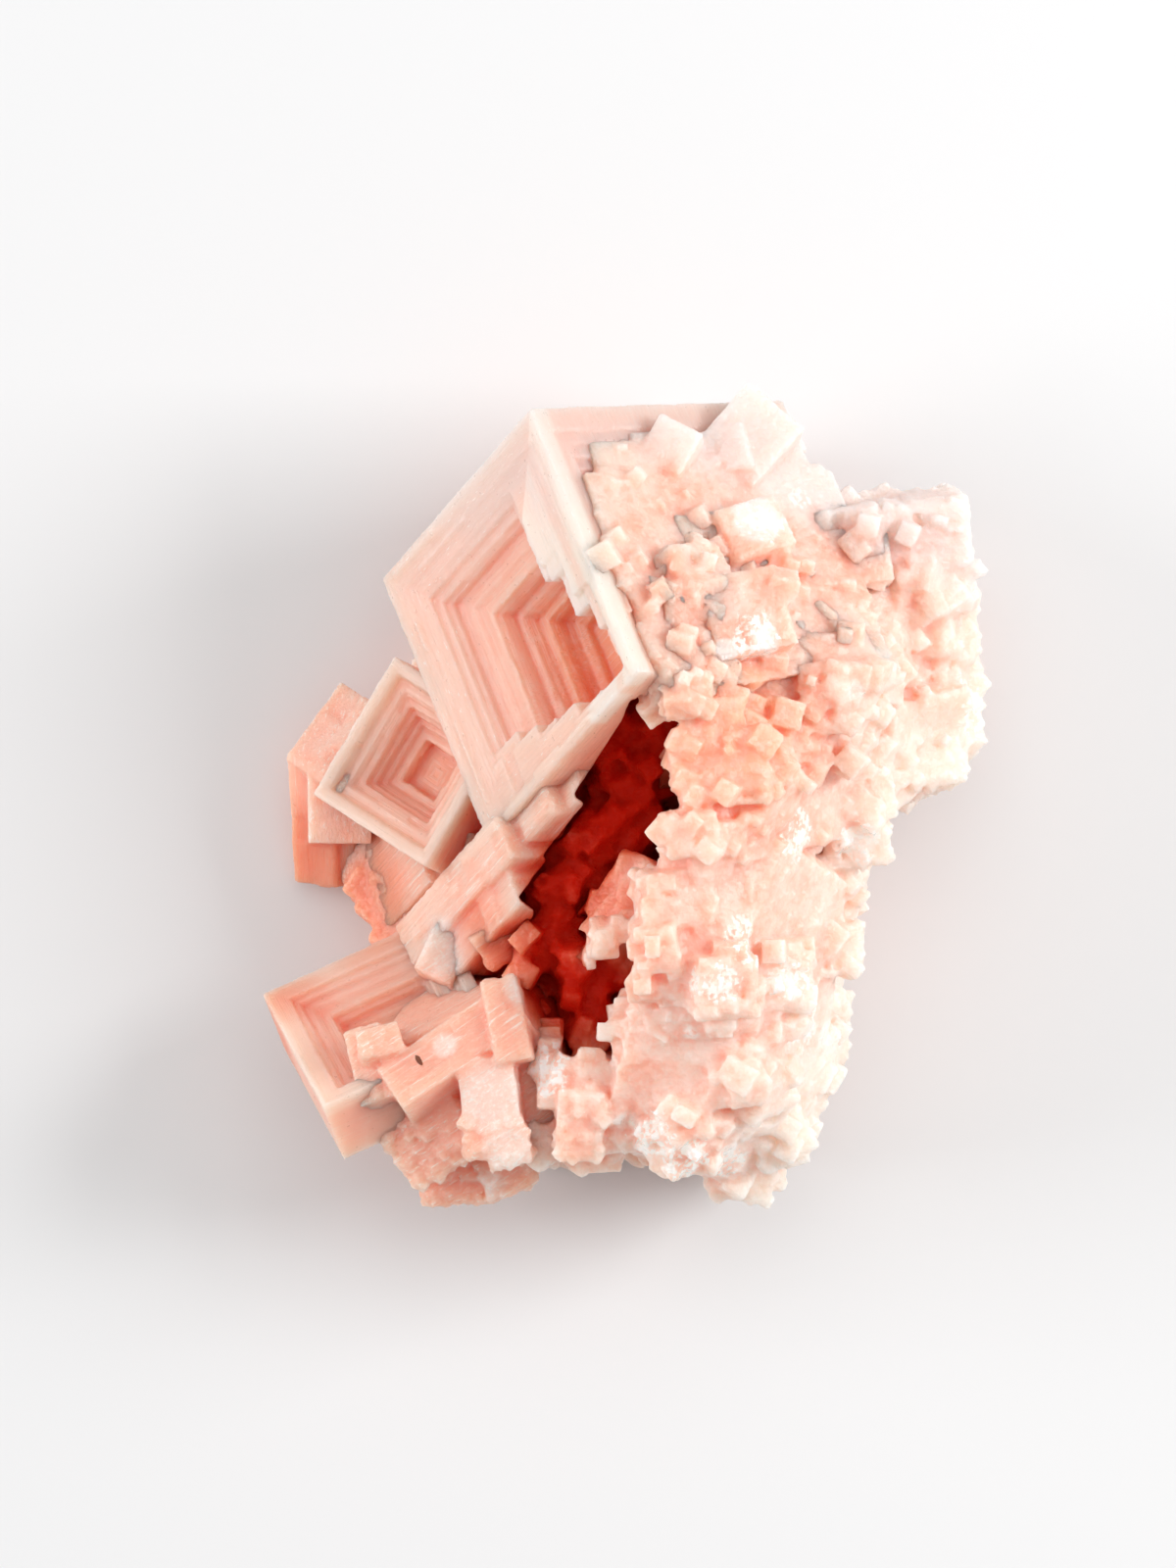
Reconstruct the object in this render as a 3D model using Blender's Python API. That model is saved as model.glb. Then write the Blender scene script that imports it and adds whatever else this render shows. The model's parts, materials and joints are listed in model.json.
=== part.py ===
"""Cluster of pink hopper halite crystals, resting on its broken back.

Three large stepped cubes and a crust of small cubes grew together, so the cluster is one solid.
Lengths in the tables are millimetres: X right, Y up the cluster, Z away from the table.
"""

import math
import random

import bmesh
import bpy
from mathutils import Matrix, Vector

MM = 0.001
SEED = 17

BIG_EDGE = 34.5
SECOND_EDGE = 17.8
LOW_EDGE = 21.5
LOW_THICKNESS = 8.5
TERRACE_LIP = 1.5  # how far the first terrace cutter starts outside the face
TERRACE_LIP_STEP = 0.1  # how much further out each next cutter starts
BREAK_BLOCK = (200.0, 200.0, 60.0)  # the block that trims the broken back level
CREVICE_TOP = 70.0  # clear above the highest crystal

CRUST_ROWS = range(-9, 9)
CRUST_COLUMNS = range(-1, 8)
CRUST_SPACING = 5.4
CRUST_ROW_SHARE = 0.9  # row spacing as a share of the spacing along a row
CRUST_STRAY = 1.2  # how far a crust cube strays from its place in the grid
CRUST_EDGE = (4.5, 8.5)
CRUST_LENGTH_SHARE = (0.85, 1.3)  # length of a crust cube as a share of its edge
CRUST_DEPTH_SHARE = 1.5
CRUST_STAND = (-0.8, 0.9)  # how far a crust cube stands out of the crust's surface
CRUST_TURN = 9.0  # degrees that a crust cube strays from its neighbours
CRUST_SLANT = 0.12  # rise of the crust's rows across the view
CRUST_SLOPE_SHARE = 0.75  # how far a crust cube leans with the surface under it
CRUST_SLOPE_STEP = 2.5  # distance over which that slope is taken
CRUST_BLEND = 4.0  # softens the surface close to a known point, in square millimetres
CRUST_FALL = 1.5  # how quickly a known point's weight falls with squared distance

FLANK_EDGE = (5.5, 8.5)
FLANK_LENGTH_SHARE = (0.8, 1.3)
FLANK_STEP = 7.5
FLANK_LEVELS = (6.0, 15.0)
FLANK_STRAY = 2.0
FLANK_TURN = 30.0
FLANK_LEAN = (0.35, 1.1)  # how far upwards a flank cube faces
FLANK_PLACE = (0.2, 0.8)  # where in its stretch of the foot a flank cube stands

# Edge directions of the three large cubes: two along the hopper face and one into the crystal.
BIG_AXES = ((-0.481, -0.537, -0.693), (0.340, -0.843, 0.417))
SECOND_AXES = ((0.703, -0.448, 0.552), (0.510, 0.857, 0.050))
LOW_AXES = ((0.322, -0.569, 0.755), (0.906, 0.413, -0.076))

BIG_CORNER = (-10.2, 43.0, 36.0)
SECOND_CORNER = (-34.5, 0.5, 13.0)
LOW_CORNER = (-40.0, -21.5, 14.0)

# A terrace: how far it is in from each of the four sides of its face (start and end of the first
# edge, start and end of the second), and how deep it lies.
BIG_TERRACES = (
    (1.4, 1.2, 1.5, 0.7, 0.15),
    (2.0, 2.8, 3.2, 1.0, 0.35),
    (2.4, 4.6, 5.2, 1.3, 0.7),
    (2.6, 6.4, 7.4, 1.6, 1.3),
    (2.8, 7.2, 8.2, 1.9, 2.7),
    (3.0, 9.4, 10.2, 2.2, 3.2),
    (3.2, 11.6, 12.4, 2.5, 3.9),
    (3.6, 12.3, 13.1, 2.9, 5.6),
    (4.2, 13.4, 14.2, 3.3, 6.6),
    (5.0, 15.0, 15.6, 3.8, 8.0),
    (6.0, 15.7, 16.3, 4.4, 10.0),
    (7.0, 17.0, 17.6, 5.0, 11.4),
)
SECOND_TERRACES = (
    (1.4, 1.4, 1.4, 1.4, 0.6),
    (2.8, 2.6, 2.8, 2.6, 1.5),
    (4.0, 3.8, 4.0, 3.8, 2.8),
    (5.2, 5.0, 5.2, 5.0, 4.4),
    (6.4, 6.2, 6.4, 6.2, 6.0),
)
LOW_TERRACES = (
    (2.4, 2.0, 2.4, 1.6, 0.7),
    (4.4, 3.6, 4.2, 3.0, 1.5),
    (6.2, 5.2, 5.8, 4.4, 2.6),
    (7.8, 6.6, 7.2, 6.0, 3.8),
)

# Blocks that lie along the big cube's edges: corner, then lengths along its three edges.
PARALLEL_BLOCKS = (
    ((-32.1, -1.9, 1.0), (-11.0, 15.7, 12.0)),
    ((-25.2, -14.1, 13.5), (-23.0, 5.2, 15.0)),
    ((-21.2, -13.2, 17.5), (-15.0, 7.6, 16.0)),
    ((-14.1, -2.8, 25.5), (-10.5, 4.6, 14.0)),
    ((-9.5, 0.4, 28.5), (-7.5, 4.8, 12.0)),
    ((-15.6, -19.9, 22.0), (-9.0, 5.0, 12.0)),
)

# Blocks with a direction of their own: centre of the outer face, the way it faces, the way its
# first edge runs across the view, then the three lengths.
FREE_BLOCKS = (
    ((-31.4, 6.8, 10.5), (-0.50, 0.40, 0.77), (0.58, 0.81), (10.6, 9.5, 12.0)),
    ((-34.6, -2.4, 6.5), (-0.45, -0.35, 0.82), (0.05, -1.0), (15.5, 5.4, 9.0)),
    ((-32.2, -3.7, 6.0), (-0.30, -0.30, 0.90), (0.12, -1.0), (13.0, 4.6, 8.0)),
    ((-30.7, -13.7, 7.5), (-0.45, 0.30, 0.84), (0.80, 0.60), (6.4, 5.4, 12.0)),
    ((-19.5, -16.4, 20.5), (-0.15, 0.20, 0.97), (0.90, -0.44), (4.6, 7.2, 12.0)),
    ((-13.5, -15.8, 25.0), (0.10, -0.15, 0.98), (0.80, 0.60), (5.4, 4.6, 12.0)),
    ((-18.7, -27.0, 31.0), (-0.18, 0.30, 0.93), (0.83, 0.557), (17.0, 5.6, 14.0)),
    ((-13.0, -24.2, 32.5), (-0.10, 0.10, 0.99), (0.20, -1.0), (9.4, 4.0, 14.0)),
    ((-28.0, -29.2, 28.5), (-0.40, 0.15, 0.90), (0.25, -1.0), (8.6, 4.4, 14.0)),
    ((-26.8, -26.4, 30.5), (-0.10, 0.40, 0.90), (0.90, 0.28), (4.8, 3.2, 10.0)),
    ((-22.0, -36.1, 25.5), (-0.20, -0.25, 0.95), (0.87, 0.50), (9.5, 11.5, 20.0)),
    ((-14.7, -33.9, 31.5), (-0.05, -0.15, 0.99), (0.12, -1.0), (11.0, 6.2, 18.0)),
    ((-12.6, -38.0, 31.0), (0.05, -0.25, 0.97), (0.95, 0.20), (4.6, 5.0, 14.0)),
    ((-17.9, -42.3, 19.5), (-0.05, -0.40, 0.91), (0.97, 0.10), (8.4, 5.4, 12.0)),
    ((-12.9, -41.5, 21.0), (0.05, -0.35, 0.93), (0.90, 0.35), (5.6, 4.8, 12.0)),
    ((5.1, 39.3, 27.0), (0.00, 0.35, 0.93), (0.80, 0.55), (5.2, 4.6, 9.0)),
    ((15.1, 41.0, 17.5), (0.15, 0.35, 0.92), (0.76, -0.62), (8.2, 6.8, 16.0)),
    ((11.4, 39.3, 20.0), (-0.05, 0.35, 0.93), (0.90, 0.25), (7.6, 5.8, 14.0)),
    ((18.3, 33.6, 21.5), (0.45, 0.30, 0.84), (0.35, -0.94), (9.8, 6.6, 12.0)),
    ((14.5, 29.8, 33.0), (0.38, 0.45, 0.81), (0.97, -0.12), (8.4, 6.6, 14.0)),
    ((13.9, 20.3, 41.0), (0.34, 0.30, 0.89), (0.97, 0.10), (9.6, 9.4, 14.0)),
    ((23.1, 27.0, 25.5), (0.25, 0.30, 0.92), (0.98, 0.08), (5.6, 5.8, 12.0)),
    ((27.2, 27.0, 24.5), (0.20, 0.28, 0.94), (0.98, 0.08), (4.8, 6.2, 12.0)),
    ((30.7, 28.4, 20.0), (0.20, 0.40, 0.89), (0.97, 0.22), (11.0, 8.6, 16.0)),
    ((-1.7, -11.8, 29.0), (-0.50, 0.25, 0.83), (0.45, 0.88), (13.0, 4.2, 10.0)),
    ((-0.9, -15.8, 34.0), (-0.10, -0.10, 0.99), (0.96, 0.28), (5.2, 4.0, 10.0)),
    ((-3.2, 0.1, 21.0), (0.20, 0.10, 0.97), (0.60, 0.80), (5.6, 5.0, 9.0)),
    ((-6.0, -30.7, 31.5), (0.00, -0.10, 0.99), (0.30, 0.95), (7.0, 3.8, 14.0)),
    ((-8.0, -29.1, 30.0), (-0.10, -0.05, 0.99), (0.10, 1.0), (4.6, 3.2, 14.0)),
    ((-3.3, -31.5, 32.0), (0.05, -0.10, 0.99), (0.55, 0.80), (6.6, 3.4, 14.0)),
    ((-4.8, -36.1, 32.0), (0.00, -0.20, 0.98), (0.05, 1.0), (7.8, 5.2, 18.0)),
    ((-8.2, -38.0, 27.0), (-0.05, -0.30, 0.95), (0.98, 0.15), (5.0, 4.4, 14.0)),
    ((-2.6, -39.3, 27.0), (0.05, -0.35, 0.94), (0.98, 0.05), (4.6, 4.0, 12.0)),
    ((13.4, -42.0, 20.0), (0.15, -0.45, 0.88), (0.95, -0.15), (6.8, 5.6, 14.0)),
    ((17.7, -37.7, 24.0), (0.35, -0.30, 0.88), (0.85, 0.50), (6.4, 5.6, 14.0)),
    ((35.9, 27.6, 15.0), (0.40, 0.35, 0.85), (0.97, -0.12), (5.6, 5.4, 12.0)),
    ((37.4, 19.0, 14.5), (0.55, 0.10, 0.83), (0.98, 0.10), (5.2, 6.4, 12.0)),
    ((38.0, 10.8, 12.5), (0.60, -0.05, 0.80), (0.97, -0.10), (4.8, 6.6, 12.0)),
    ((35.9, 5.2, 15.0), (0.50, -0.25, 0.83), (0.95, 0.25), (5.6, 5.4, 12.0)),
)

# Points on the inner body of the cluster, under the crystals.
BODY_HULLS = (
    (  # under the big cube's far side and the upper crust
        (-3.9, 40.6, 24.0), (5.8, 40.6, 20.0), (16.6, 42.2, 12.0), (20.1, 34.1, 18.0),
        (21.5, 27.6, 24.0), (24.2, 14.7, 34.0), (13.4, 12.5, 42.0), (7.5, 12.5, 46.0),
        (1.5, 23.3, 40.0), (0.4, 37.4, 0.0), (6.9, 39.5, 0.0), (16.6, 39.5, 0.0),
        (22.0, 27.6, 0.0), (24.2, 12.5, 0.0), (-3.9, 21.2, 0.0), (-8.2, 32.0, 5.0),
    ),
    (  # right side
        (16.6, 27.6, 28.0), (25.3, 30.9, 16.0), (35.5, 31.4, 12.0), (37.6, 22.2, 13.0),
        (38.7, 12.5, 10.0), (35.2, 2.6, 15.0), (27.4, -3.7, 24.0), (13.4, -6.9, 42.0),
        (6.9, 1.7, 44.0), (6.9, 10.4, 45.0), (24.2, 27.6, 0.0), (35.0, 27.6, 0.0),
        (36.1, 12.5, 0.0), (31.8, 3.9, 0.0), (6.9, -4.8, 0.0), (6.9, 12.5, 0.0),
    ),
    (  # lower right
        (5.2, -1.5, 43.0), (3.5, -11.2, 41.0), (2.1, -21.0, 38.0), (-0.4, -29.6, 35.0),
        (-2.6, -37.7, 29.0), (6.9, -39.3, 31.0), (13.4, -43.1, 19.0), (17.7, -38.8, 21.0),
        (22.0, -31.8, 21.0), (22.7, -21.0, 24.0), (24.4, -9.1, 25.0), (17.7, -4.8, 38.0),
        (11.2, -19.9, 42.0), (12.3, -29.6, 37.0), (5.8, -3.7, 0.0), (23.1, -6.9, 0.0),
        (21.0, -28.5, 0.0), (11.2, -39.3, 0.0), (0.4, -37.2, 3.0), (2.6, -19.9, 0.0),
    ),
    (  # left side and the bed of the crevice
        (-30.7, 1.7, 5.0), (-31.4, -9.1, 5.0), (-27.6, -14.5, 9.0), (-21.2, -12.3, 15.0),
        (-17.9, -1.5, 18.0), (-23.3, 12.5, 10.0), (-25.5, -17.7, 10.0), (-12.5, -19.9, 19.0),
        (-3.9, -9.1, 13.0), (6.9, 3.9, 13.0), (-3.9, 17.9, 10.0), (-16.8, 21.2, 4.0),
        (-27.6, 1.7, 0.0), (-27.6, -9.1, 0.0), (-21.2, 19.0, 0.0), (6.9, -9.1, 0.0),
        (0.4, -30.7, 0.0), (-19.0, -25.3, 0.0), (6.9, 27.6, 0.0),
    ),
    (  # lower left
        (-27.6, -28.0, 24.0), (-25.5, -31.8, 23.0), (-12.5, -21.0, 29.0), (-10.9, -26.4, 29.0),
        (-17.9, -40.4, 17.0), (-10.9, -39.3, 26.0), (-3.9, -39.3, 25.0), (-7.1, -28.5, 27.0),
        (-22.2, -19.9, 12.0), (-23.3, -26.4, 2.0), (-16.8, -36.1, 0.0), (-3.9, -37.2, 0.0),
        (-1.7, -19.9, 0.0), (-17.9, -17.7, 0.0),
    ),
)

# The open crevice between the big cube and the crusty side, as upright cuts: centre and bottom
# of the cut, the way it runs, its length and its width.
CREVICE_CUTS = (
    ((0.4, 4.4, 11.0), (0.55, 0.84), (13.5, 5.6)),
    ((1.5, 6.6, 14.0), (0.35, 0.94), (8.0, 4.6)),
    ((2.1, 0.1, 12.0), (0.10, 1.0), (9.4, 3.6)),
    ((-2.6, -2.1, 12.0), (0.62, 0.78), (14.5, 4.8)),
    ((-5.4, -7.8, 11.0), (0.60, 0.80), (12.5, 6.4)),
    ((-7.6, -12.9, 12.0), (0.30, 0.95), (9.8, 4.6)),
    ((-6.9, -19.9, 14.0), (0.05, 1.0), (11.0, 5.4)),
    ((-3.2, -23.1, 12.0), (0.35, 0.94), (11.5, 4.0)),
    ((-0.2, -17.5, 15.0), (0.60, 0.80), (5.6, 3.4)),
)

# Crust surface on the right: position of points on it.
CRUST_POINTS = (
    (4.8, 12.5, 49.0), (6.9, 23.3, 44.0), (13.4, 28.7, 33.0), (17.7, 34.1, 24.0),
    (23.1, 12.5, 38.0), (31.8, 23.3, 22.0), (37.7, 19.0, 15.0), (39.3, 10.8, 12.0),
    (35.3, 1.5, 19.0), (26.4, -3.7, 28.0), (13.4, 1.7, 45.0), (6.9, -3.7, 47.0),
    (4.8, -14.5, 45.0), (11.2, -19.9, 44.0), (17.7, -19.9, 38.0), (24.2, -19.9, 24.0),
    (23.1, -30.7, 20.0), (13.4, -30.7, 39.0), (6.9, -36.1, 36.0), (0.4, -38.2, 32.0),
    (13.4, -44.7, 17.0), (17.7, -41.5, 18.0), (-3.9, -36.1, 31.0), (-3.9, -40.9, 24.0),
    (22.0, 29.8, 24.0), (27.4, -9.1, 22.0), (23.1, -13.4, 26.0),
)
CRUST_OUTLINE = (
    (6.9, 24.4), (13.4, 34.1), (17.7, 32.0), (21.0, 27.6), (25.3, 29.3), (35.0, 32.0),
    (36.9, 25.5), (37.7, 17.9), (38.2, 10.8), (37.2, 5.6), (33.9, 1.7), (28.0, -2.6),
    (26.9, -5.8), (24.7, -8.0), (23.7, -12.3), (23.1, -15.6), (24.4, -17.7), (22.6, -22.0),
    (22.7, -28.9), (22.0, -31.8), (20.1, -34.7), (17.2, -39.1), (14.7, -43.1), (11.8, -42.6),
    (7.1, -39.3), (0.4, -39.1), (-2.8, -39.1), (0.4, -28.5), (2.8, -19.9), (4.8, -11.2),
    (5.8, -2.6), (6.4, 10.4),
)

# Round the cluster near the table, where the flank cubes stand.
FLANK_LINE = (
    (-3.9, 32.5), (5.8, 35.7), (13.9, 36.8), (16.6, 29.8), (22.0, 23.3), (31.2, 26.6),
    (33.0, 22.2), (34.1, 16.3), (34.1, 10.9), (31.2, 6.0), (26.9, 1.7), (23.7, -3.7),
    (21.2, -9.1), (20.1, -15.6), (19.7, -22.0), (19.0, -28.5), (16.1, -33.9), (12.5, -37.7),
    (6.9, -35.0), (-2.8, -35.0), (-11.4, -36.1), (-17.9, -33.9), (-21.2, -28.5),
)


def clear_scene():
    """Remove the startup objects."""
    for obj in list(bpy.data.objects):
        bpy.data.objects.remove(obj)


def add_collection(name, hidden=False):
    """A collection of the scene, hidden from the render if it only holds helpers."""
    made = bpy.data.collections.new(name)
    made.hide_render = hidden
    bpy.context.scene.collection.children.link(made)
    return made


def axes_of(first, second):
    """Three unit vectors at right angles: along the first edge, the second, and into the crystal."""
    u = Vector(first).normalized()
    v = Vector(second)
    v = (v - u * v.dot(u)).normalized()
    return u, v, v.cross(u)


def facing_axes(normal, run):
    """Unit vectors of a block that faces along normal, its first edge running along run in the view."""
    n = Vector(normal).normalized()
    u = Vector((run[0], run[1], -(n.x * run[0] + n.y * run[1]) / n.z)).normalized()
    return u, n.cross(u), -n


def link_mesh(bm, name, target):
    """Turn a bmesh into an object of the target collection."""
    bmesh.ops.recalc_face_normals(bm, faces=bm.faces)
    mesh = bpy.data.meshes.new(name)
    bm.to_mesh(mesh)
    bm.free()
    obj = bpy.data.objects.new(name, mesh)
    target.objects.link(obj)
    return obj


def add_block(name, centre, axes, lengths, target):
    """A rectangular block, its edges along axes."""
    columns = [axis * abs(length) * MM for axis, length in zip(axes, lengths)]
    matrix = Matrix.Translation(Vector(centre) * MM) @ Matrix(columns).transposed().to_4x4()
    bm = bmesh.new()
    bmesh.ops.create_cube(bm, size=1.0, matrix=matrix)
    return link_mesh(bm, name, target)


def add_corner_block(name, corner, axes, lengths, target):
    """A block that starts at a corner and runs the signed lengths along axes."""
    centre = Vector(corner)
    for axis, length in zip(axes, lengths):
        centre = centre + axis * length / 2
    return add_block(name, centre, axes, lengths, target)


def add_hull(name, points, target):
    """A convex lump round the points."""
    bm = bmesh.new()
    for point in points:
        bm.verts.new(Vector(point) * MM)
    found = bmesh.ops.convex_hull(bm, input=bm.verts)
    bmesh.ops.delete(bm, geom=found["geom_interior"], context="VERTS")
    return link_mesh(bm, name, target)


def boolean(obj, operation, tools):
    """Join or cut obj with every mesh in a collection, and keep the result as its mesh."""
    modifier = obj.modifiers.new(operation.lower(), "BOOLEAN")
    modifier.operation = operation
    modifier.solver = "EXACT"
    modifier.operand_type = "COLLECTION"
    modifier.collection = tools
    graph = bpy.context.evaluated_depsgraph_get()
    mesh = bpy.data.meshes.new_from_object(obj.evaluated_get(graph))
    obj.modifiers.clear()
    old = obj.data
    obj.data = mesh
    bpy.data.meshes.remove(old)


def hide_helpers(tools):
    """Keep the helper blocks out of the render and draw them as wires."""
    for obj in tools.objects:
        obj.hide_render = True
        obj.display_type = "WIRE"


def terraced_cube(name, corner, axes, edges, terraces, target):
    """A hopper cube: terraces sink into the face that holds its first two edges."""
    tools = add_collection(name + "_terraces", hidden=True)
    cube = add_corner_block(name, corner, axes, edges, target)
    for index, (start_u, end_u, start_v, end_v, depth) in enumerate(terraces):
        lip = TERRACE_LIP + TERRACE_LIP_STEP * index
        start = Vector(corner) + axes[0] * start_u + axes[1] * start_v - axes[2] * lip
        lengths = (edges[0] - start_u - end_u, edges[1] - start_v - end_v, depth + lip)
        add_corner_block(f"{name}_terrace_{index}", start, axes, lengths, tools)
    boolean(cube, "DIFFERENCE", tools)
    hide_helpers(tools)
    return cube


def crust_height(x, y):
    """Height of the crusty side over a point, from the nearest known points."""
    total = 0.0
    weight = 0.0
    for px, py, pz in CRUST_POINTS:
        near = 1.0 / ((px - x) ** 2 + (py - y) ** 2 + CRUST_BLEND) ** CRUST_FALL
        total += near * pz
        weight += near
    return total / weight


def inside_outline(x, y):
    """Whether a point is inside the crust's outline."""
    inside = False
    last = CRUST_OUTLINE[-1]
    for point in CRUST_OUTLINE:
        if (point[1] > y) != (last[1] > y):
            cross = (last[0] - point[0]) * (y - point[1]) / (last[1] - point[1]) + point[0]
            inside ^= x < cross
        last = point
    return inside


def crust_normal(x, y):
    """The way the crusty side faces over a point."""
    step = CRUST_SLOPE_STEP
    slope_x = (crust_height(x + step, y) - crust_height(x - step, y)) / (2 * step)
    slope_y = (crust_height(x, y + step) - crust_height(x, y - step)) / (2 * step)
    return Vector((-CRUST_SLOPE_SHARE * slope_x, -CRUST_SLOPE_SHARE * slope_y, 1.0)).normalized()


def add_crust(target):
    """Small cubes grown over the crusty side, nearly parallel to each other."""
    rng = random.Random(SEED)
    index = 0
    for row in CRUST_ROWS:
        for column in CRUST_COLUMNS:
            x = (column + (row % 2) / 2) * CRUST_SPACING + rng.uniform(-CRUST_STRAY, CRUST_STRAY)
            y = row * CRUST_ROW_SHARE * CRUST_SPACING + rng.uniform(-CRUST_STRAY, CRUST_STRAY)
            edge = rng.uniform(*CRUST_EDGE)
            stray = [math.radians(rng.uniform(-CRUST_TURN, CRUST_TURN)) for _ in range(3)]
            if not inside_outline(x, y):
                continue
            run = (math.cos(stray[0]), math.sin(stray[0]) + CRUST_SLANT)
            tilt = Vector((math.sin(stray[1]), math.sin(stray[2]), 0.0))
            axes = facing_axes(crust_normal(x, y) + tilt, run)
            top = Vector((x, y, crust_height(x, y) + rng.uniform(*CRUST_STAND)))
            sides = (edge * rng.uniform(*CRUST_LENGTH_SHARE), edge, edge * CRUST_DEPTH_SHARE)
            add_block(f"crust_{index}", top + axes[2] * sides[2] / 2, axes, sides, target)
            index += 1


def add_flank(target):
    """Cubes round the foot of the cluster, so that its sides are crystals too."""
    rng = random.Random(SEED + 1)
    index = 0
    for start, end in zip(FLANK_LINE, FLANK_LINE[1:]):
        a = Vector((start[0], start[1], 0.0))
        b = Vector((end[0], end[1], 0.0))
        out = Vector((0, 0, 1)).cross(b - a).normalized()
        count = max(1, round((b - a).length / FLANK_STEP))
        for place in range(count):
            for level in FLANK_LEVELS:
                edge = rng.uniform(*FLANK_EDGE)
                middle = a.lerp(b, (place + rng.uniform(*FLANK_PLACE)) / count)
                middle.z = level + rng.uniform(-FLANK_STRAY, FLANK_STRAY)
                turn = math.radians(rng.uniform(-FLANK_TURN, FLANK_TURN))
                normal = out + Vector((0.0, 0.0, rng.uniform(*FLANK_LEAN)))
                run = (math.cos(turn), math.sin(turn))
                axes = facing_axes(normal, run)
                sides = (edge * rng.uniform(*FLANK_LENGTH_SHARE), edge, edge)
                add_block(f"flank_{index}", middle, axes, sides, target)
                index += 1


def add_free_blocks(target):
    """Single crystals that face their own way."""
    for index, (face, normal, run, lengths) in enumerate(FREE_BLOCKS):
        axes = facing_axes(normal, run)
        centre = Vector(face) + axes[2] * lengths[2] / 2
        add_block(f"single_{index}", centre, axes, lengths, target)


def add_growth(target):
    """Every crystal that joins the big cube."""
    big = axes_of(*BIG_AXES)
    second = axes_of(*SECOND_AXES)
    low = axes_of(*LOW_AXES)
    second_edges = (SECOND_EDGE, SECOND_EDGE, SECOND_EDGE)
    terraced_cube("second_cube", SECOND_CORNER, second, second_edges, SECOND_TERRACES, target)
    low_edges = (LOW_EDGE, LOW_EDGE, LOW_THICKNESS)
    terraced_cube("low_cube", LOW_CORNER, low, low_edges, LOW_TERRACES, target)
    for index, (corner, lengths) in enumerate(PARALLEL_BLOCKS):
        add_corner_block(f"parallel_{index}", corner, big, lengths, target)
    for index, points in enumerate(BODY_HULLS):
        add_hull(f"body_{index}", points, target)
    add_free_blocks(target)
    add_crust(target)
    add_flank(target)


def add_openings(tools):
    """The crevice cuts and the flat break under the cluster."""
    for index, (bottom, run, (length, width)) in enumerate(CREVICE_CUTS):
        axes = facing_axes((0.0, 0.0, 1.0), run)
        centre = Vector((bottom[0], bottom[1], (bottom[2] + CREVICE_TOP) / 2))
        lengths = (length, width, CREVICE_TOP - bottom[2])
        add_block(f"crevice_{index}", centre, axes, lengths, tools)
    level = (Vector((1, 0, 0)), Vector((0, 1, 0)), Vector((0, 0, 1)))
    add_block("break", (0.0, 0.0, -BREAK_BLOCK[2] / 2), level, BREAK_BLOCK, tools)


def keep_largest_shell(obj):
    """Drop the pockets sealed between crystals and any crumb that the cuts left loose."""
    bm = bmesh.new()
    bm.from_mesh(obj.data)
    bm.verts.index_update()
    seen = set()
    shells = []
    for start in bm.verts:
        if start.index in seen:
            continue
        seen.add(start.index)
        shell = [start]
        for vertex in shell:
            for edge in vertex.link_edges:
                other = edge.other_vert(vertex)
                if other.index not in seen:
                    seen.add(other.index)
                    shell.append(other)
        shells.append(shell)
    shells.sort(key=len)
    loose = [vertex for shell in shells[:-1] for vertex in shell]
    bmesh.ops.delete(bm, geom=loose, context="VERTS")
    bm.to_mesh(obj.data)
    bm.free()


def rest_on_origin(obj):
    """Put the middle of the cluster's box over the origin, with its break at Z 0."""
    xs = [vertex.co.x for vertex in obj.data.vertices]
    ys = [vertex.co.y for vertex in obj.data.vertices]
    zs = [vertex.co.z for vertex in obj.data.vertices]
    shift = Vector((-(min(xs) + max(xs)) / 2, -(min(ys) + max(ys)) / 2, -min(zs)))
    obj.data.transform(Matrix.Translation(shift))


def halite_material():
    """Pink salt that lets some light through."""
    material = bpy.data.materials.new("pink_halite")
    material.use_nodes = True
    shader = material.node_tree.nodes["Principled BSDF"]
    shader.inputs["Base Color"].default_value = (0.90, 0.56, 0.46, 1.0)
    shader.inputs["Roughness"].default_value = 0.28
    shader.inputs["IOR"].default_value = 1.544
    shader.inputs["Transmission Weight"].default_value = 0.25
    return material


def main():
    clear_scene()
    parts = add_collection("halite_cluster")
    growth = add_collection("growth", hidden=True)
    cuts = add_collection("openings", hidden=True)
    edges = (BIG_EDGE, BIG_EDGE, BIG_EDGE)
    add_growth(growth)
    add_openings(cuts)
    big = axes_of(*BIG_AXES)
    cluster = terraced_cube("halite_cluster", BIG_CORNER, big, edges, BIG_TERRACES, parts)
    boolean(cluster, "UNION", growth)
    boolean(cluster, "DIFFERENCE", cuts)
    hide_helpers(growth)
    hide_helpers(cuts)
    keep_largest_shell(cluster)
    rest_on_origin(cluster)
    cluster.data.materials.clear()
    cluster.data.materials.append(halite_material())


main()
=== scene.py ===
"""Pink hopper halite cluster: terraced salt cubes on one side, a crust of small cubes on the other.

Run as a script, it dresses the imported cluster. Lengths in the tables are millimetres, in the
cluster's own frame: X right, Y up the cluster, Z away from the table.
"""

import json
import math
import random

import bmesh
import bpy
from mathutils import Euler, Matrix, Vector, noise

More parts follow.
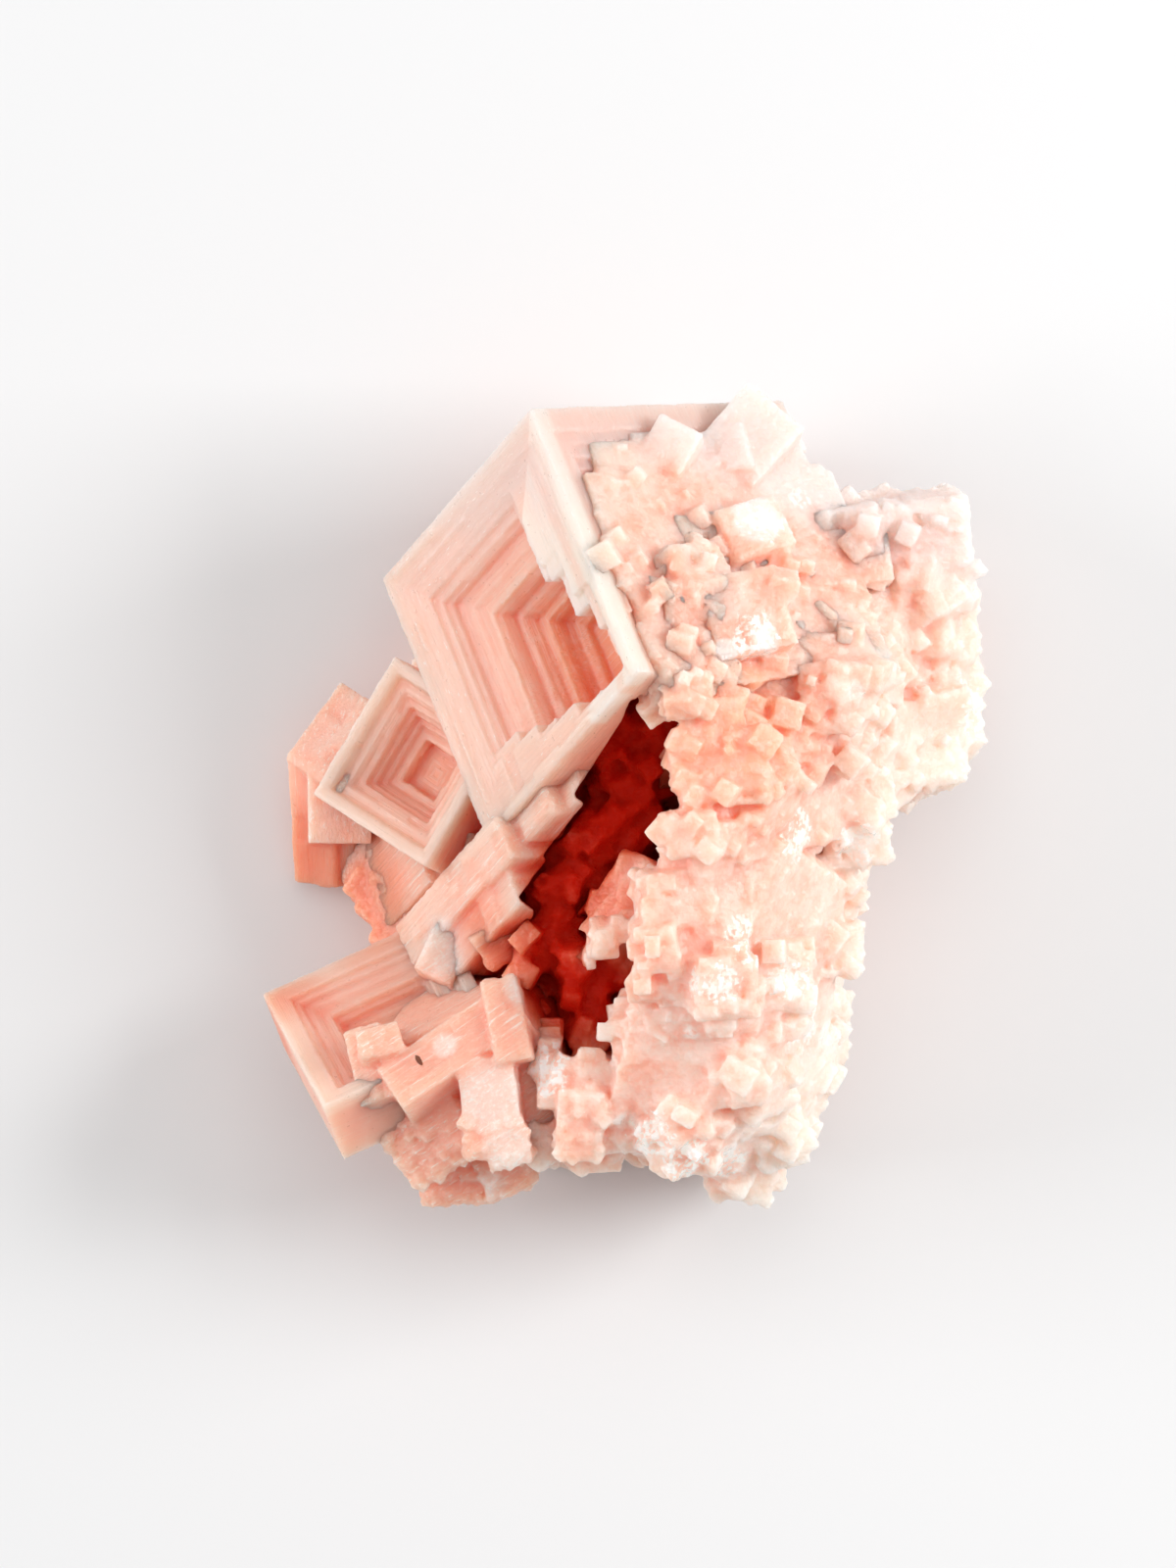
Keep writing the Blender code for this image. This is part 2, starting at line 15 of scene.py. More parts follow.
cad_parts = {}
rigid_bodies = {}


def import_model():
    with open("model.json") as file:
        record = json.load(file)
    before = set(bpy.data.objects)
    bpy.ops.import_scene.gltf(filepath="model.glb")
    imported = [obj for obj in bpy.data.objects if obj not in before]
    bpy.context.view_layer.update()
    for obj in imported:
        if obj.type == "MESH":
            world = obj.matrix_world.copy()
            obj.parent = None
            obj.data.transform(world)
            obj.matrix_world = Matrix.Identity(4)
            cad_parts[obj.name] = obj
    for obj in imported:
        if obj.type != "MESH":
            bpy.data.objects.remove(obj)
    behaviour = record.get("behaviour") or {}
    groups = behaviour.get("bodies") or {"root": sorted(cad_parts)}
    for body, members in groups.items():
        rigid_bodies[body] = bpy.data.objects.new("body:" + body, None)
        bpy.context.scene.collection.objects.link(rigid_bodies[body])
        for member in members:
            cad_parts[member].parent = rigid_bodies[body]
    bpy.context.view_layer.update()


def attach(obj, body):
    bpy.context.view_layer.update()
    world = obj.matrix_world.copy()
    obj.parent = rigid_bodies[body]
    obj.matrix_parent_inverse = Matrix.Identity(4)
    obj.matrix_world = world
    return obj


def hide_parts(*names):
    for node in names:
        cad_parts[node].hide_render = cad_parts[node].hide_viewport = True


bl_info = {
    "name": "Pink Halite Cluster",
    "version": (1, 0, 0),
    "blender": (4, 5, 0),
    "location": "3D View > Sidebar > Halite",
    "description": "Models the crystals of a pink hopper halite cluster",
    "category": "Mesh",
}

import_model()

MM = 0.001
NODE = "halite_cluster"
SEED = 29

BIG_AXES = ((-0.481, -0.537, -0.693), (0.340, -0.843, 0.417))
SECOND_AXES = ((0.703, -0.448, 0.552), (0.510, 0.857, 0.050))
LOW_AXES = ((0.322, -0.569, 0.755), (0.906, 0.413, -0.076))
BIG_CORNER = (-10.4, 42.6, 36.0)
SECOND_CORNER = (-34.7, 0.2, 13.0)
LOW_CORNER = (-40.2, -21.9, 14.0)

# A terrace: how far in it is from the start and end of the face's first edge and of its second
# edge, and how deep it lies. Finer terraces are worked out between these.
BIG_TERRACES = (
    (1.4, 1.2, 1.5, 0.7, 0.15),
    (2.0, 2.8, 3.2, 1.0, 0.35),
    (2.4, 4.6, 5.2, 1.3, 0.7),
    (2.6, 6.4, 7.4, 1.6, 1.3),
    (2.8, 7.2, 8.2, 1.9, 2.7),
    (3.0, 9.4, 10.2, 2.2, 3.2),
    (3.2, 11.6, 12.4, 2.5, 3.9),
    (3.6, 12.3, 13.1, 2.9, 5.6),
    (4.2, 13.4, 14.2, 3.3, 6.6),
    (5.0, 15.0, 15.6, 3.8, 8.0),
    (6.0, 15.7, 16.3, 4.4, 10.0),
    (7.0, 17.0, 17.6, 5.0, 11.4),
)
# Slabs that thicken the rim: start and end along the first edge of the face, start and end along
# the second, and the levels of top and underside.
RIM_SLABS = (
    (0.3, 4.2, 0.6, 26.5, -0.7, -3.0),
    (0.3, 5.8, 0.6, 21.0, -0.35, -2.0),
    (0.3, 7.5, 0.6, 22.7, -1.1, -3.6),
    (0.3, 8.6, 0.6, 17.4, -0.6, -2.0),
    (0.3, 10.1, 0.6, 16.5, -0.95, -3.4),
    (0.3, 9.2, 0.6, 15.0, -0.4, -1.6),
    (1.5, 13.5, 32.3, 34.2, -0.4, -3.4),
    (8.0, 14.8, 31.6, 34.2, -1.1, -3.8),
    (12.5, 20.6, 30.4, 34.2, -0.5, -3.4),
    (17.0, 21.8, 29.6, 34.2, -0.9, -3.0),
    (20.2, 25.6, 28.4, 34.2, -0.6, -3.6),
    (24.0, 30.0, 26.8, 34.2, -0.95, -3.2),
    (27.5, 33.0, 28.0, 34.2, -0.5, -2.4),
)
# Steps down the outer face beside the hopper: in from the top edge, in from the rim, depth.
OUTER_STEPS = (
    (3.0, 1.5, 0.25),
    (4.6, 2.0, 0.5),
    (6.4, 2.7, 1.0),
    (7.6, 3.6, 1.4),
    (9.6, 5.2, 1.8),
)
SECOND_TERRACES = (
    (1.4, 1.4, 1.4, 1.4, 0.6),
    (2.8, 2.6, 2.8, 2.6, 1.5),
    (4.0, 3.8, 4.0, 3.8, 2.8),
    (5.2, 5.0, 5.2, 5.0, 4.4),
    (6.4, 6.2, 6.4, 6.2, 6.0),
)
LOW_TERRACES = (
    (2.4, 2.0, 2.4, 1.6, 0.7),
    (4.4, 3.6, 4.2, 3.0, 1.5),
    (6.2, 5.2, 5.8, 4.4, 2.6),
    (7.8, 6.6, 7.2, 6.0, 3.8),
)

# Depths where painted shade turns each hopper's salt from rim to flesh colour, then to terrace shade.
BIG_DEPTHS = (0.6, 4.2, 8.0)
SECOND_DEPTHS = (0.4, 2.2, 9.0)
LOW_DEPTHS = (0.4, 2.2, 5.5)

# Blocks that grew parallel to the large cube: name, corner, signed lengths along its edges.
PARALLEL_BLOCKS = (
    ("wall_slab", (-32.3, -2.3, 3.0), (-11.0, 15.7, 12.0)),
    ("upper_bar", (-25.4, -14.5, 13.5), (-23.0, 5.2, 15.0)),
    ("lower_bar", (-21.4, -13.6, 17.5), (-15.0, 7.6, 16.0)),
    ("lip_bar", (-14.4, -3.2, 25.5), (-10.5, 4.6, 14.0)),
    ("lip_end", (-9.7, 0.1, 28.5), (-7.5, 4.8, 12.0)),
    ("bar_foot", (-15.8, -20.2, 22.0), (-9.0, 5.0, 12.0)),
)

# Blocks with a direction of their own: name, middle of the outer face, the way it faces, the way
# its first edge runs across the view, the three lengths.
LEFT_BLOCKS = (
    ("left_face", (-31.7, 6.4, 10.5), (-0.50, 0.40, 0.77), (0.58, 0.81), (10.6, 9.5, 12.0)),
    ("left_column", (-34.8, -2.8, 6.5), (-0.45, -0.35, 0.82), (0.05, -1.0), (15.5, 5.4, 9.0)),
    ("inner_column", (-32.4, -4.0, 6.0), (-0.30, -0.30, 0.90), (0.12, -1.0), (13.0, 4.6, 8.0)),
    ("foot_block", (-30.9, -14.1, 7.5), (-0.45, 0.30, 0.84), (0.80, 0.60), (6.4, 5.4, 12.0)),
)
LOW_BLOCKS = (
    ("white_end", (-19.8, -16.8, 20.5), (-0.15, 0.20, 0.97), (0.90, -0.44), (4.6, 7.2, 12.0)),
    ("glassy_cube", (-13.7, -16.1, 25.0), (0.10, -0.15, 0.98), (0.80, 0.60), (5.4, 4.6, 12.0)),
    ("flat_block", (-18.9, -27.4, 31.0), (-0.18, 0.30, 0.93), (0.83, 0.557), (17.0, 5.6, 14.0)),
    ("ridge_block", (-13.2, -24.6, 32.5), (-0.10, 0.10, 0.99), (0.20, -1.0), (9.4, 4.0, 14.0)),
    ("lobe", (-28.2, -29.5, 28.5), (-0.40, 0.15, 0.90), (0.25, -1.0), (8.6, 4.4, 14.0)),
    ("lined_block", (-27.0, -26.7, 30.5), (-0.10, 0.40, 0.90), (0.90, 0.28), (4.8, 3.2, 10.0)),
    ("foot_slab", (-22.3, -36.4, 25.5), (-0.20, -0.25, 0.95), (0.87, 0.50), (9.5, 11.5, 20.0)),
    ("pale_plate", (-14.9, -34.3, 31.5), (-0.05, -0.15, 0.99), (0.12, -1.0), (11.0, 6.2, 18.0)),
    ("grain_plate", (-12.9, -38.4, 31.0), (0.05, -0.25, 0.97), (0.95, 0.20), (4.6, 5.0, 14.0)),
    ("foot_left", (-18.2, -42.7, 19.5), (-0.05, -0.40, 0.91), (0.97, 0.10), (8.4, 5.4, 12.0)),
    ("foot_right", (-13.1, -41.8, 21.0), (0.05, -0.35, 0.93), (0.90, 0.35), (5.6, 4.8, 12.0)),
)
TOP_BLOCKS = (
    ("top_chip", (4.9, 38.6, 31.0), (-0.05, 0.30, 0.95), (0.88, -0.45), (5.4, 5.6, 9.0)),
    ("tip", (13.8, 39.8, 25.5), (0.10, 0.30, 0.95), (0.76, -0.62), (8.2, 9.2, 20.0)),
    ("tip_side", (9.7, 37.9, 27.0), (-0.05, 0.35, 0.93), (0.90, 0.25), (8.0, 5.4, 14.0)),
    ("far_edge", (18.0, 33.2, 21.5), (0.45, 0.30, 0.84), (0.35, -0.94), (9.8, 6.6, 12.0)),
    ("bright_block", (14.4, 29.6, 34.0), (0.34, 0.42, 0.84), (0.95, 0.30), (7.6, 6.4, 14.0)),
    ("framed_block", (13.4, 20.1, 42.0), (0.30, 0.26, 0.92), (0.95, 0.22), (9.4, 9.2, 14.0)),
    ("notch_block", (22.9, 26.6, 25.5), (0.25, 0.30, 0.92), (0.98, 0.08), (5.6, 5.8, 12.0)),
    ("square_block", (27.0, 26.6, 24.5), (0.20, 0.28, 0.94), (0.98, 0.08), (4.8, 6.2, 12.0)),
    ("corner_block", (30.4, 28.0, 20.0), (0.20, 0.40, 0.89), (0.97, 0.22), (11.0, 8.6, 16.0)),
)
CRUST_BLOCKS = (
    ("inner_plate", (-2.0, -12.1, 29.0), (-0.50, 0.25, 0.83), (0.45, 0.88), (13.0, 4.2, 10.0)),
    ("inner_lump", (-1.1, -16.1, 34.0), (-0.10, -0.10, 0.99), (0.96, 0.28), (5.2, 4.0, 10.0)),
    ("lip_lump", (-3.5, -0.3, 21.0), (0.20, 0.10, 0.97), (0.60, 0.80), (5.6, 5.0, 9.0)),
    ("stalk_middle", (-6.3, -31.0, 31.5), (0.00, -0.10, 0.99), (0.30, 0.95), (7.0, 3.8, 14.0)),
    ("stalk_left", (-8.2, -29.4, 30.0), (-0.10, -0.05, 0.99), (0.10, 1.0), (4.6, 3.2, 14.0)),
    ("stalk_right", (-3.6, -31.9, 32.0), (0.05, -0.10, 0.99), (0.55, 0.80), (6.6, 3.4, 14.0)),
    ("stalk_foot", (-5.0, -36.4, 32.0), (0.00, -0.20, 0.98), (0.05, 1.0), (7.8, 5.2, 18.0)),
    ("foot_middle", (-8.4, -38.4, 27.0), (-0.05, -0.30, 0.95), (0.98, 0.15), (5.0, 4.4, 14.0)),
    ("foot_end", (-2.8, -39.7, 27.0), (0.05, -0.35, 0.94), (0.98, 0.05), (4.6, 4.0, 12.0)),
    ("low_tip", (13.2, -42.4, 20.0), (0.15, -0.45, 0.88), (0.95, -0.15), (6.8, 5.6, 14.0)),
    ("low_corner", (17.5, -38.1, 24.0), (0.35, -0.30, 0.88), (0.85, 0.50), (6.4, 5.6, 14.0)),
    ("side_upper", (35.6, 27.3, 15.0), (0.40, 0.35, 0.85), (0.97, -0.12), (5.6, 5.4, 12.0)),
    ("side_middle", (37.1, 18.6, 14.5), (0.55, 0.10, 0.83), (0.98, 0.10), (5.2, 6.4, 12.0)),
    ("side_lower", (37.8, 10.4, 12.5), (0.60, -0.05, 0.80), (0.97, -0.10), (4.8, 6.6, 12.0)),
    ("side_end", (35.6, 4.8, 15.0), (0.50, -0.25, 0.83), (0.95, 0.25), (5.6, 5.4, 12.0)),
)

# Points on the body of the cluster, under the crystals.
FAR_BODY = (
    (-4.1, 40.2, 24.0), (5.6, 40.2, 20.0), (16.4, 41.9, 12.0), (19.8, 33.8, 18.0),
    (21.3, 27.3, 24.0), (24.0, 14.3, 34.0), (13.2, 12.2, 42.0), (7.2, 12.2, 46.0),
    (1.3, 23.0, 40.0), (0.2, 37.0, 0.0), (6.7, 39.2, 0.0), (16.4, 39.2, 0.0),
    (21.8, 27.3, 0.0), (24.0, 12.2, 0.0), (-4.1, 20.8, 0.0), (-8.4, 31.6, 5.0),
)
RIGHT_BODY = (
    (16.4, 27.3, 28.0), (25.0, 30.5, 16.0), (35.3, 31.1, 12.0), (37.3, 21.9, 13.0),
    (38.4, 12.2, 10.0), (35.0, 2.2, 15.0), (27.2, -4.0, 24.0), (13.2, -7.3, 42.0),
    (6.7, 1.4, 44.0), (6.7, 10.0, 45.0), (24.0, 27.3, 0.0), (34.8, 27.3, 0.0),
    (35.8, 12.2, 0.0), (31.5, 3.5, 0.0), (6.7, -5.1, 0.0), (6.7, 12.2, 0.0),
)
LOWER_BODY = (
    (4.9, -1.9, 43.0), (3.2, -11.6, 41.0), (1.8, -21.3, 38.0), (-0.7, -30.0, 35.0),
    (-2.8, -38.1, 29.0), (6.7, -39.7, 31.0), (13.2, -43.5, 19.0), (17.5, -39.1, 21.0),
    (21.8, -32.1, 21.0), (22.4, -21.3, 24.0), (24.2, -9.4, 25.0), (17.5, -5.1, 38.0),
    (11.0, -20.2, 42.0), (12.1, -30.0, 37.0), (5.6, -4.0, 0.0), (22.9, -7.3, 0.0),
    (20.7, -28.9, 0.0), (11.0, -39.7, 0.0), (0.2, -37.5, 3.0), (2.4, -20.2, 0.0),
)
BED = (
    (-30.9, 1.4, 5.0), (-31.7, -9.4, 5.0), (-27.9, -14.8, 9.0), (-21.4, -12.7, 15.0),
    (-18.2, -1.9, 12.0), (-23.6, 12.2, 6.0), (-25.7, -18.1, 10.0), (-12.8, -20.2, 19.0),
    (-4.1, -9.4, 13.0), (6.7, 3.5, 13.0), (-4.1, 17.6, 10.0), (-17.1, 20.8, 4.0),
    (-27.9, 1.4, 0.0), (-27.9, -9.4, 0.0), (-21.4, 18.6, 0.0), (6.7, -9.4, 0.0),
    (0.2, -31.0, 0.0), (-19.2, -25.6, 0.0), (6.7, 27.3, 0.0),
)
LOW_LEFT_BODY = (
    (-27.9, -28.3, 24.0), (-25.7, -32.1, 23.0), (-12.8, -21.3, 29.0), (-11.1, -26.7, 29.0),
    (-18.2, -40.8, 17.0), (-11.1, -39.7, 26.0), (-4.1, -39.7, 25.0), (-7.4, -28.9, 27.0),
    (-22.5, -20.2, 12.0), (-23.6, -26.7, 2.0), (-17.1, -36.4, 0.0), (-4.1, -37.5, 0.0),
    (-2.0, -20.2, 0.0), (-18.2, -18.1, 0.0),
)

# Points on the body under the parallel bars.
BAR_HEART = (
    (-22.5, -6.2, 14.0), (-17.1, -4.0, 20.0), (-10.6, -9.4, 18.0), (-19.2, -15.9, 16.0),
    (-27.9, -9.4, 6.0), (-23.6, -15.9, 5.0), (-12.8, -15.9, 8.0), (-8.4, -5.1, 10.0),
)

# The open crevice: middle and bottom of each cut, the way it runs, its length and width.
CREVICE_CUTS = (
    ((0.2, 4.1, 11.0), (0.55, 0.84), (13.5, 5.6)),
    ((1.3, 6.2, 14.0), (0.35, 0.94), (8.0, 4.6)),
    ((1.8, -0.3, 12.0), (0.10, 1.0), (9.4, 3.6)),
    ((-2.8, -2.4, 12.0), (0.62, 0.78), (14.5, 4.8)),
    ((-5.6, -8.2, 11.0), (0.60, 0.80), (12.5, 6.4)),
    ((-7.8, -13.2, 12.0), (0.30, 0.95), (9.8, 4.6)),
    ((-7.2, -20.2, 14.0), (0.05, 1.0), (11.0, 5.4)),
    ((-3.5, -23.5, 12.0), (0.35, 0.94), (11.5, 4.0)),
    ((-0.5, -17.9, 15.0), (0.60, 0.80), (5.6, 3.4)),
)

# Points that the crust's surface passes through.
CRUST_POINTS = (
    (4.5, 12.2, 49.0), (6.7, 23.0, 44.0), (13.2, 28.4, 33.0), (17.5, 33.8, 24.0),
    (22.9, 12.2, 38.0), (31.5, 23.0, 22.0), (37.5, 18.6, 15.0), (39.1, 10.4, 12.0),
    (35.1, 1.1, 19.0), (26.1, -4.0, 28.0), (13.2, 1.4, 45.0), (6.7, -4.0, 47.0),
    (4.5, -14.8, 45.0), (11.0, -20.2, 44.0), (17.5, -20.2, 38.0), (24.0, -20.2, 24.0),
    (22.9, -31.0, 20.0), (13.2, -31.0, 39.0), (6.7, -36.4, 36.0), (0.2, -38.6, 32.0),
    (13.2, -45.1, 17.0), (17.5, -41.8, 18.0), (-4.1, -36.4, 31.0), (-4.1, -41.3, 24.0),
    (21.8, 29.4, 24.0), (27.2, -9.4, 22.0), (22.9, -13.8, 26.0),
)
CRUST_OUTLINE = (
    (6.7, 24.0), (13.2, 33.8), (17.5, 31.6), (20.7, 27.3), (25.0, 28.9), (34.8, 31.6),
    (36.7, 25.1), (37.5, 17.6), (38.0, 10.4), (36.9, 5.2), (33.7, 1.4), (27.7, -3.0),
    (26.7, -6.2), (24.5, -8.4), (23.4, -12.7), (22.9, -15.9), (24.2, -18.1), (22.3, -22.4),
    (22.4, -29.3), (21.8, -32.1), (19.8, -35.0), (16.9, -39.5), (14.4, -43.5), (11.5, -42.9),
    (6.9, -39.7), (0.2, -39.5), (-3.0, -39.5), (0.2, -28.9), (2.6, -20.2), (4.5, -11.6),
    (5.6, -3.0), (6.1, 10.0),
)

# The line round the cluster's foot that flanking cubes grow along.
FLANK_LINE = (
    (-4.1, 32.1), (5.6, 35.4), (13.7, 36.5), (16.4, 29.4), (21.8, 23.0), (31.0, 26.2),
    (32.8, 21.9), (33.9, 15.9), (33.9, 10.5), (31.0, 5.7), (26.7, 1.4), (23.4, -4.0),
    (20.9, -9.4), (19.8, -15.9), (19.4, -22.4), (18.8, -28.9), (15.9, -34.3), (12.3, -38.1),
    (6.7, -35.4), (-3.0, -35.4), (-11.7, -36.4), (-18.2, -34.3), (-21.4, -28.9),
)
FLANK_EDGE = (5.5, 8.5)
FLANK_STEP = 7.5
FLANK_LEVELS = (6.0, 15.0)
FLANK_UNEVEN = 2.0  # how far a cube may be above or below its level

# The crust: edges of its cubes, spacing, rows and columns of the grid they start from, how far
# they stray from it and stand out of it, and how long they are for their edge.
CRUST_EDGE = (3.6, 7.6)
CRUST_SPACING = 4.5
CRUST_ROW_SHARE = 0.9  # spacing of the rows, for that of the columns
CRUST_ROWS = (-11, 11)
CRUST_COLUMNS = (-1, 10)
CRUST_STRAY = 1.2
CRUST_STAND = (-0.7, 0.5)
CRUST_TILT = 0.07
CRUST_RUN = 0.12  # slope of the crust's rows across the view
CRUST_LENGTH = 1.3

# Growth over the large cube's outer face: number of cubes, reach along the face and into the
# cube, where it starts from the cube's first corner, edges, share of the edge, how far it stands
# out, and tilt.
FACE_CRUST_COUNT = 260
FACE_CRUST_ALONG = (6.5, 33.0)
FACE_CRUST_ACROSS = (5.0, 34.0)
FACE_CRUST_CLEAR = 17.0
FACE_CRUST_EDGE = (2.5, 8.5)
FACE_CRUST_SHARE = (0.6, 1.0)
FACE_CRUST_STAND = (-0.1, 0.4)
FACE_CRUST_TILT = 0.03

# The crevice: height that its cuts reach, chips in the walls of each cut, cubes that line it.
CUT_TOP = 70.0
CHIPS_PER_CUT = 14
CHIP_EDGE = (0.8, 2.2)
CHIP_HEIGHT = (2.0, 7.0)
CHIP_TOP = 50.0
LINING_COUNT = 9
LINING_EDGE = (1.4, 3.2)
LINING_HEIGHT = (17.0, 26.0)

LOW_THICKNESS = 8.5  # of the lower left hopper crystal
LEFT_HEART = ((-31.7, -0.8, 6.0), (7.0, 9.0, 9.0))  # middle and lengths of the block inside
LOW_GRAIN_LINE = -36.0  # grains grow on the lower left blocks below this line
GRAIN_FLOOR = 3.0  # and above this height
COARSE_FLOOR = 5.0
SPECK_SPOT = (-22.7, -29.0, 31.6)
SPECK_SIZE = (0.30, 0.75, 0.30)
SPECK_WORN = (0.30, 0.09, 0.04)
ORANGE_SPOT = (11.2, 5.5, 40.0)
RIDGE_WIDTH = 10.0  # of the pale ridge beside the large hopper

# Patches of small cubes that lie nearly parallel: number, the corners of the box that their
# middles are in, and tilt.
LOW_PATCHES = (6, (-30, -46, 5), (5, -20, 32), 0.3)
TOP_PATCHES = (5, (-5, 10, 5), (45, 46, 45), 0.3)
CRUST_PATCHES = (14, (0, -46, 0), (46, 40, 50), 0.2)
BED_PATCHES = (12, (-35, -40, 0), (25, 30, 30), 0.4)

# Small cubes on a skin: places tried, edges, how far they stand out for their edge, and the share
# that face a way of their own. Then the least distance between them.
LOW_GRAINS = (9000, (0.6, 1.6), (-0.1, 0.4), 0.2)
TOP_COARSE = (1400, (1.4, 3.0), (-0.5, -0.25), 0.03)
TOP_FINE = (6000, (0.7, 1.3), (-0.25, 0.1), 0.2)
CRUST_COARSE = (7000, (1.2, 3.0), (-0.35, -0.05), 0.08)
CRUST_FINE = (22000, (0.6, 1.2), (-0.3, 0.15), 0.2)
BED_COARSE = (3000, (1.4, 3.6), (-0.2, 0.15), 0.2)
BED_FINE = (5000, (0.7, 1.5), (-0.1, 0.3), 0.2)
LOW_APART, TOP_COARSE_APART, TOP_FINE_APART = 1.0, 3.0, 1.6
CRUST_COARSE_APART, BED_COARSE_APART, BED_FINE_APART = 2.5, 3.0, 1.7
GRAIN_STRAY = 0.12  # how far the others turn out of their patch
TOP_FINE_SHARE, BED_FINE_SHARE = 0.25, 0.5  # share of the places that grow one
GROWN_SEEDS, CRUST_GROWN_SEEDS = 3, 5  # kinds of stepped cube

# Blocks: which one of a table gives its salt its direction, how frosted they are, and the height
# below which painted shade deepens their colour.
LEFT_MAIN, LEFT_FROSTING, LEFT_SHADE_TOP = 1, 0.2, 11.0
LOW_MAIN, LOW_FROSTING, LOW_SHADE_TOP = 2, 0.6, 25.0
BAR_FROSTING, BAR_SHADE_TOP = 0.35, 16.0

# Fine growth on crystals: plates on a block, on a bar, on a seed cube, and the faces they are on.
BLOCK_PLATES = 16
BLOCK_PLATE_THICK = (0.06, 0.35)
BLOCK_PLATE_FACES = (0, 1, 2, 3, 4, 4, 4, 4)
BAR_PLATES = 14
BAR_PLATE_THICK = (0.08, 0.4)
BAR_PLATE_FACES = (0, 1, 2, 3, 4, 4)
PLATE_WIDE = (0.15, 0.6)
SEED_PLATES = 12
PLAIN_SEEDS = 4  # how many seeds come before the grown ones
SEED_PITS = 3
BLOCK_ROUND = 0.07 * MM
LEDGES_PER_SIDE = 2
LEDGE_THICK = (0.1, 0.3)
LEDGE_WIDE = (0.2, 0.7)
THIN = 0.02 * MM

# How each piece grows into one skin: voxel, rounds of smoothing, grit, most triangles. Each grit
# is a texture kind, the size of its grains and how far they stand, in millimetres.
SKINS = {
    "large_hopper_cube": (0.25, 1, (("CLOUDS", 3.5, 0.2), ("CLOUDS", 0.9, 0.06)), 150000),
    "second_hopper_cube": (0.24, 1, (("CLOUDS", 3.0, 0.15), ("CLOUDS", 0.9, 0.06)), 60000),
    "low_hopper_crystal": (0.24, 1, (("CLOUDS", 3.0, 0.15), ("CLOUDS", 0.9, 0.06)), 60000),
    "parallel_bars": (0.3, 1, (("CLOUDS", 2.2, 0.25), ("CLOUDS", 0.7, 0.1)), 80000),
    "left_crystals": (0.26, 1, (("CLOUDS", 3.0, 0.2),), 30000),
    "low_blocks": (0.28, 1, (("CLOUDS", 1.8, 0.2), ("CLOUDS", 0.6, 0.1)), 100000),
    "top_crystals": (0.27, 0, (("CLOUDS", 1.6, 0.1), ("VORONOI", 0.8, 0.07)), 170000),
    "crust": (0.3, 0, (("CLOUDS", 1.6, 0.1), ("VORONOI", 0.7, 0.08)), 195000),
    "bed": (0.36, 2, (("CLOUDS", 2.0, 0.3), ("VORONOI", 1.0, 0.2)), 90000),
}
SHADE_ANGLE = 38
BEVEL_ANGLE = 35

# Salt: index of refraction, how far red, green and blue light spread beside each other, how many
# millimetres it spreads in hoppers, blocks and crust, and the share that is clear.
SALT_IOR = 1.544
SPREAD_RATIO = (1.0, 0.84, 0.76)
HOPPER_SPREAD = 6.5
BLOCK_SPREAD = 5.0
CRUST_SPREAD = 5.0
HOPPER_CLEAR = 0.08
DULL = 0.05  # specular level of the dull salt in the crevice

# Balls of painted shade that cover the crevice: middle, radius that is wholly shaded red salt,
# radius where it ends, and how far it changes the salt.
CREVICE_SHADE_BALLS = (
    ((1.3, 5.7, 22.0), 4.0, 14.5, 1.0),
    ((-1.4, -0.8, 20.0), 5.0, 15.5, 1.0),
    ((-5.2, -7.8, 18.0), 6.0, 16.0, 1.0),
    ((-7.6, -14.8, 18.0), 5.0, 14.5, 1.0),
    ((-5.2, -21.3, 18.0), 5.0, 14.5, 1.0),
    ((-1.1, -12.7, 29.0), 2.0, 8.0, 0.34),
    ((-12.2, -15.4, 22.0), 1.0, 10.0, 0.32),
    ((-4.1, -1.9, 27.0), 2.0, 8.0, 0.30),
)

# Painted highlights of the crust's bright facets: middle, and the radius round it that sparkles.
GLINTS = (
    ((15.1, 29.9, 34.0), 4.0), ((14.2, 17.0, 42.0), 5.0), ((19.4, 33.1, 24.0), 2.5),
    ((25.2, 11.7, 36.0), 2.0), ((27.6, 21.4, 30.0), 1.5), ((25.7, -5.3, 28.0), 4.5),
    ((18.8, -20.0, 38.0), 5.0), ((13.2, -15.9, 42.0), 5.0), ((20.7, -25.6, 28.0), 6.0),
    ((9.9, -20.2, 43.0), 5.0), ((2.4, -37.5, 34.0), 6.0), ((11.0, -40.8, 26.0), 5.0),
    ((19.6, -4.0, 36.0), 6.0), ((-8.4, -30.0, 31.0), 5.0), ((-12.8, -38.6, 31.0), 4.0),
    ((35.8, 27.3, 15.0), 6.0), ((37.5, 10.0, 14.0), 6.0), ((6.7, -39.7, 33.0), 5.0),
)

# Blocks that the growth on the large cube's outer face leaves bare: middle and radius.
BARE_BLOCKS = (((13.4, 20.1, 42.0), 5.6), ((14.4, 29.6, 34.0), 4.8))

# Painted highlights on smooth bright facets: middle and radius.
FACET_HIGHLIGHTS = (
    ((14.4, 30.5, 34.0), 3.4), ((17.5, 32.9, 28.0), 1.8), ((14.8, 17.0, 41.0), 2.4),
    ((17.8, 18.6, 38.0), 1.6), ((11.0, 15.9, 44.0), 1.6), ((24.8, 11.7, 37.0), 1.4),
    ((25.9, -5.3, 28.0), 2.4), ((19.1, -20.2, 38.0), 2.2), ((11.5, -40.2, 30.0), 2.6),
    ((6.7, -26.7, 40.0), 2.0), ((22.3, -26.7, 22.0), 2.4), ((0.2, -36.4, 33.0), 2.0),
)

# Clear crystals without a crust: middle and radius.
CLEAR_CRYSTALS = (
    ((4.9, 38.6, 31.0), 4.8), ((13.8, 39.8, 25.5), 8.0), ((9.7, 37.9, 27.0), 4.8),
    ((27.0, 26.6, 24.5), 3.6), ((28.8, 29.4, 20.0), 5.5), ((13.4, 20.1, 42.0), 5.5),
    ((14.4, 29.6, 34.0), 4.6),
)

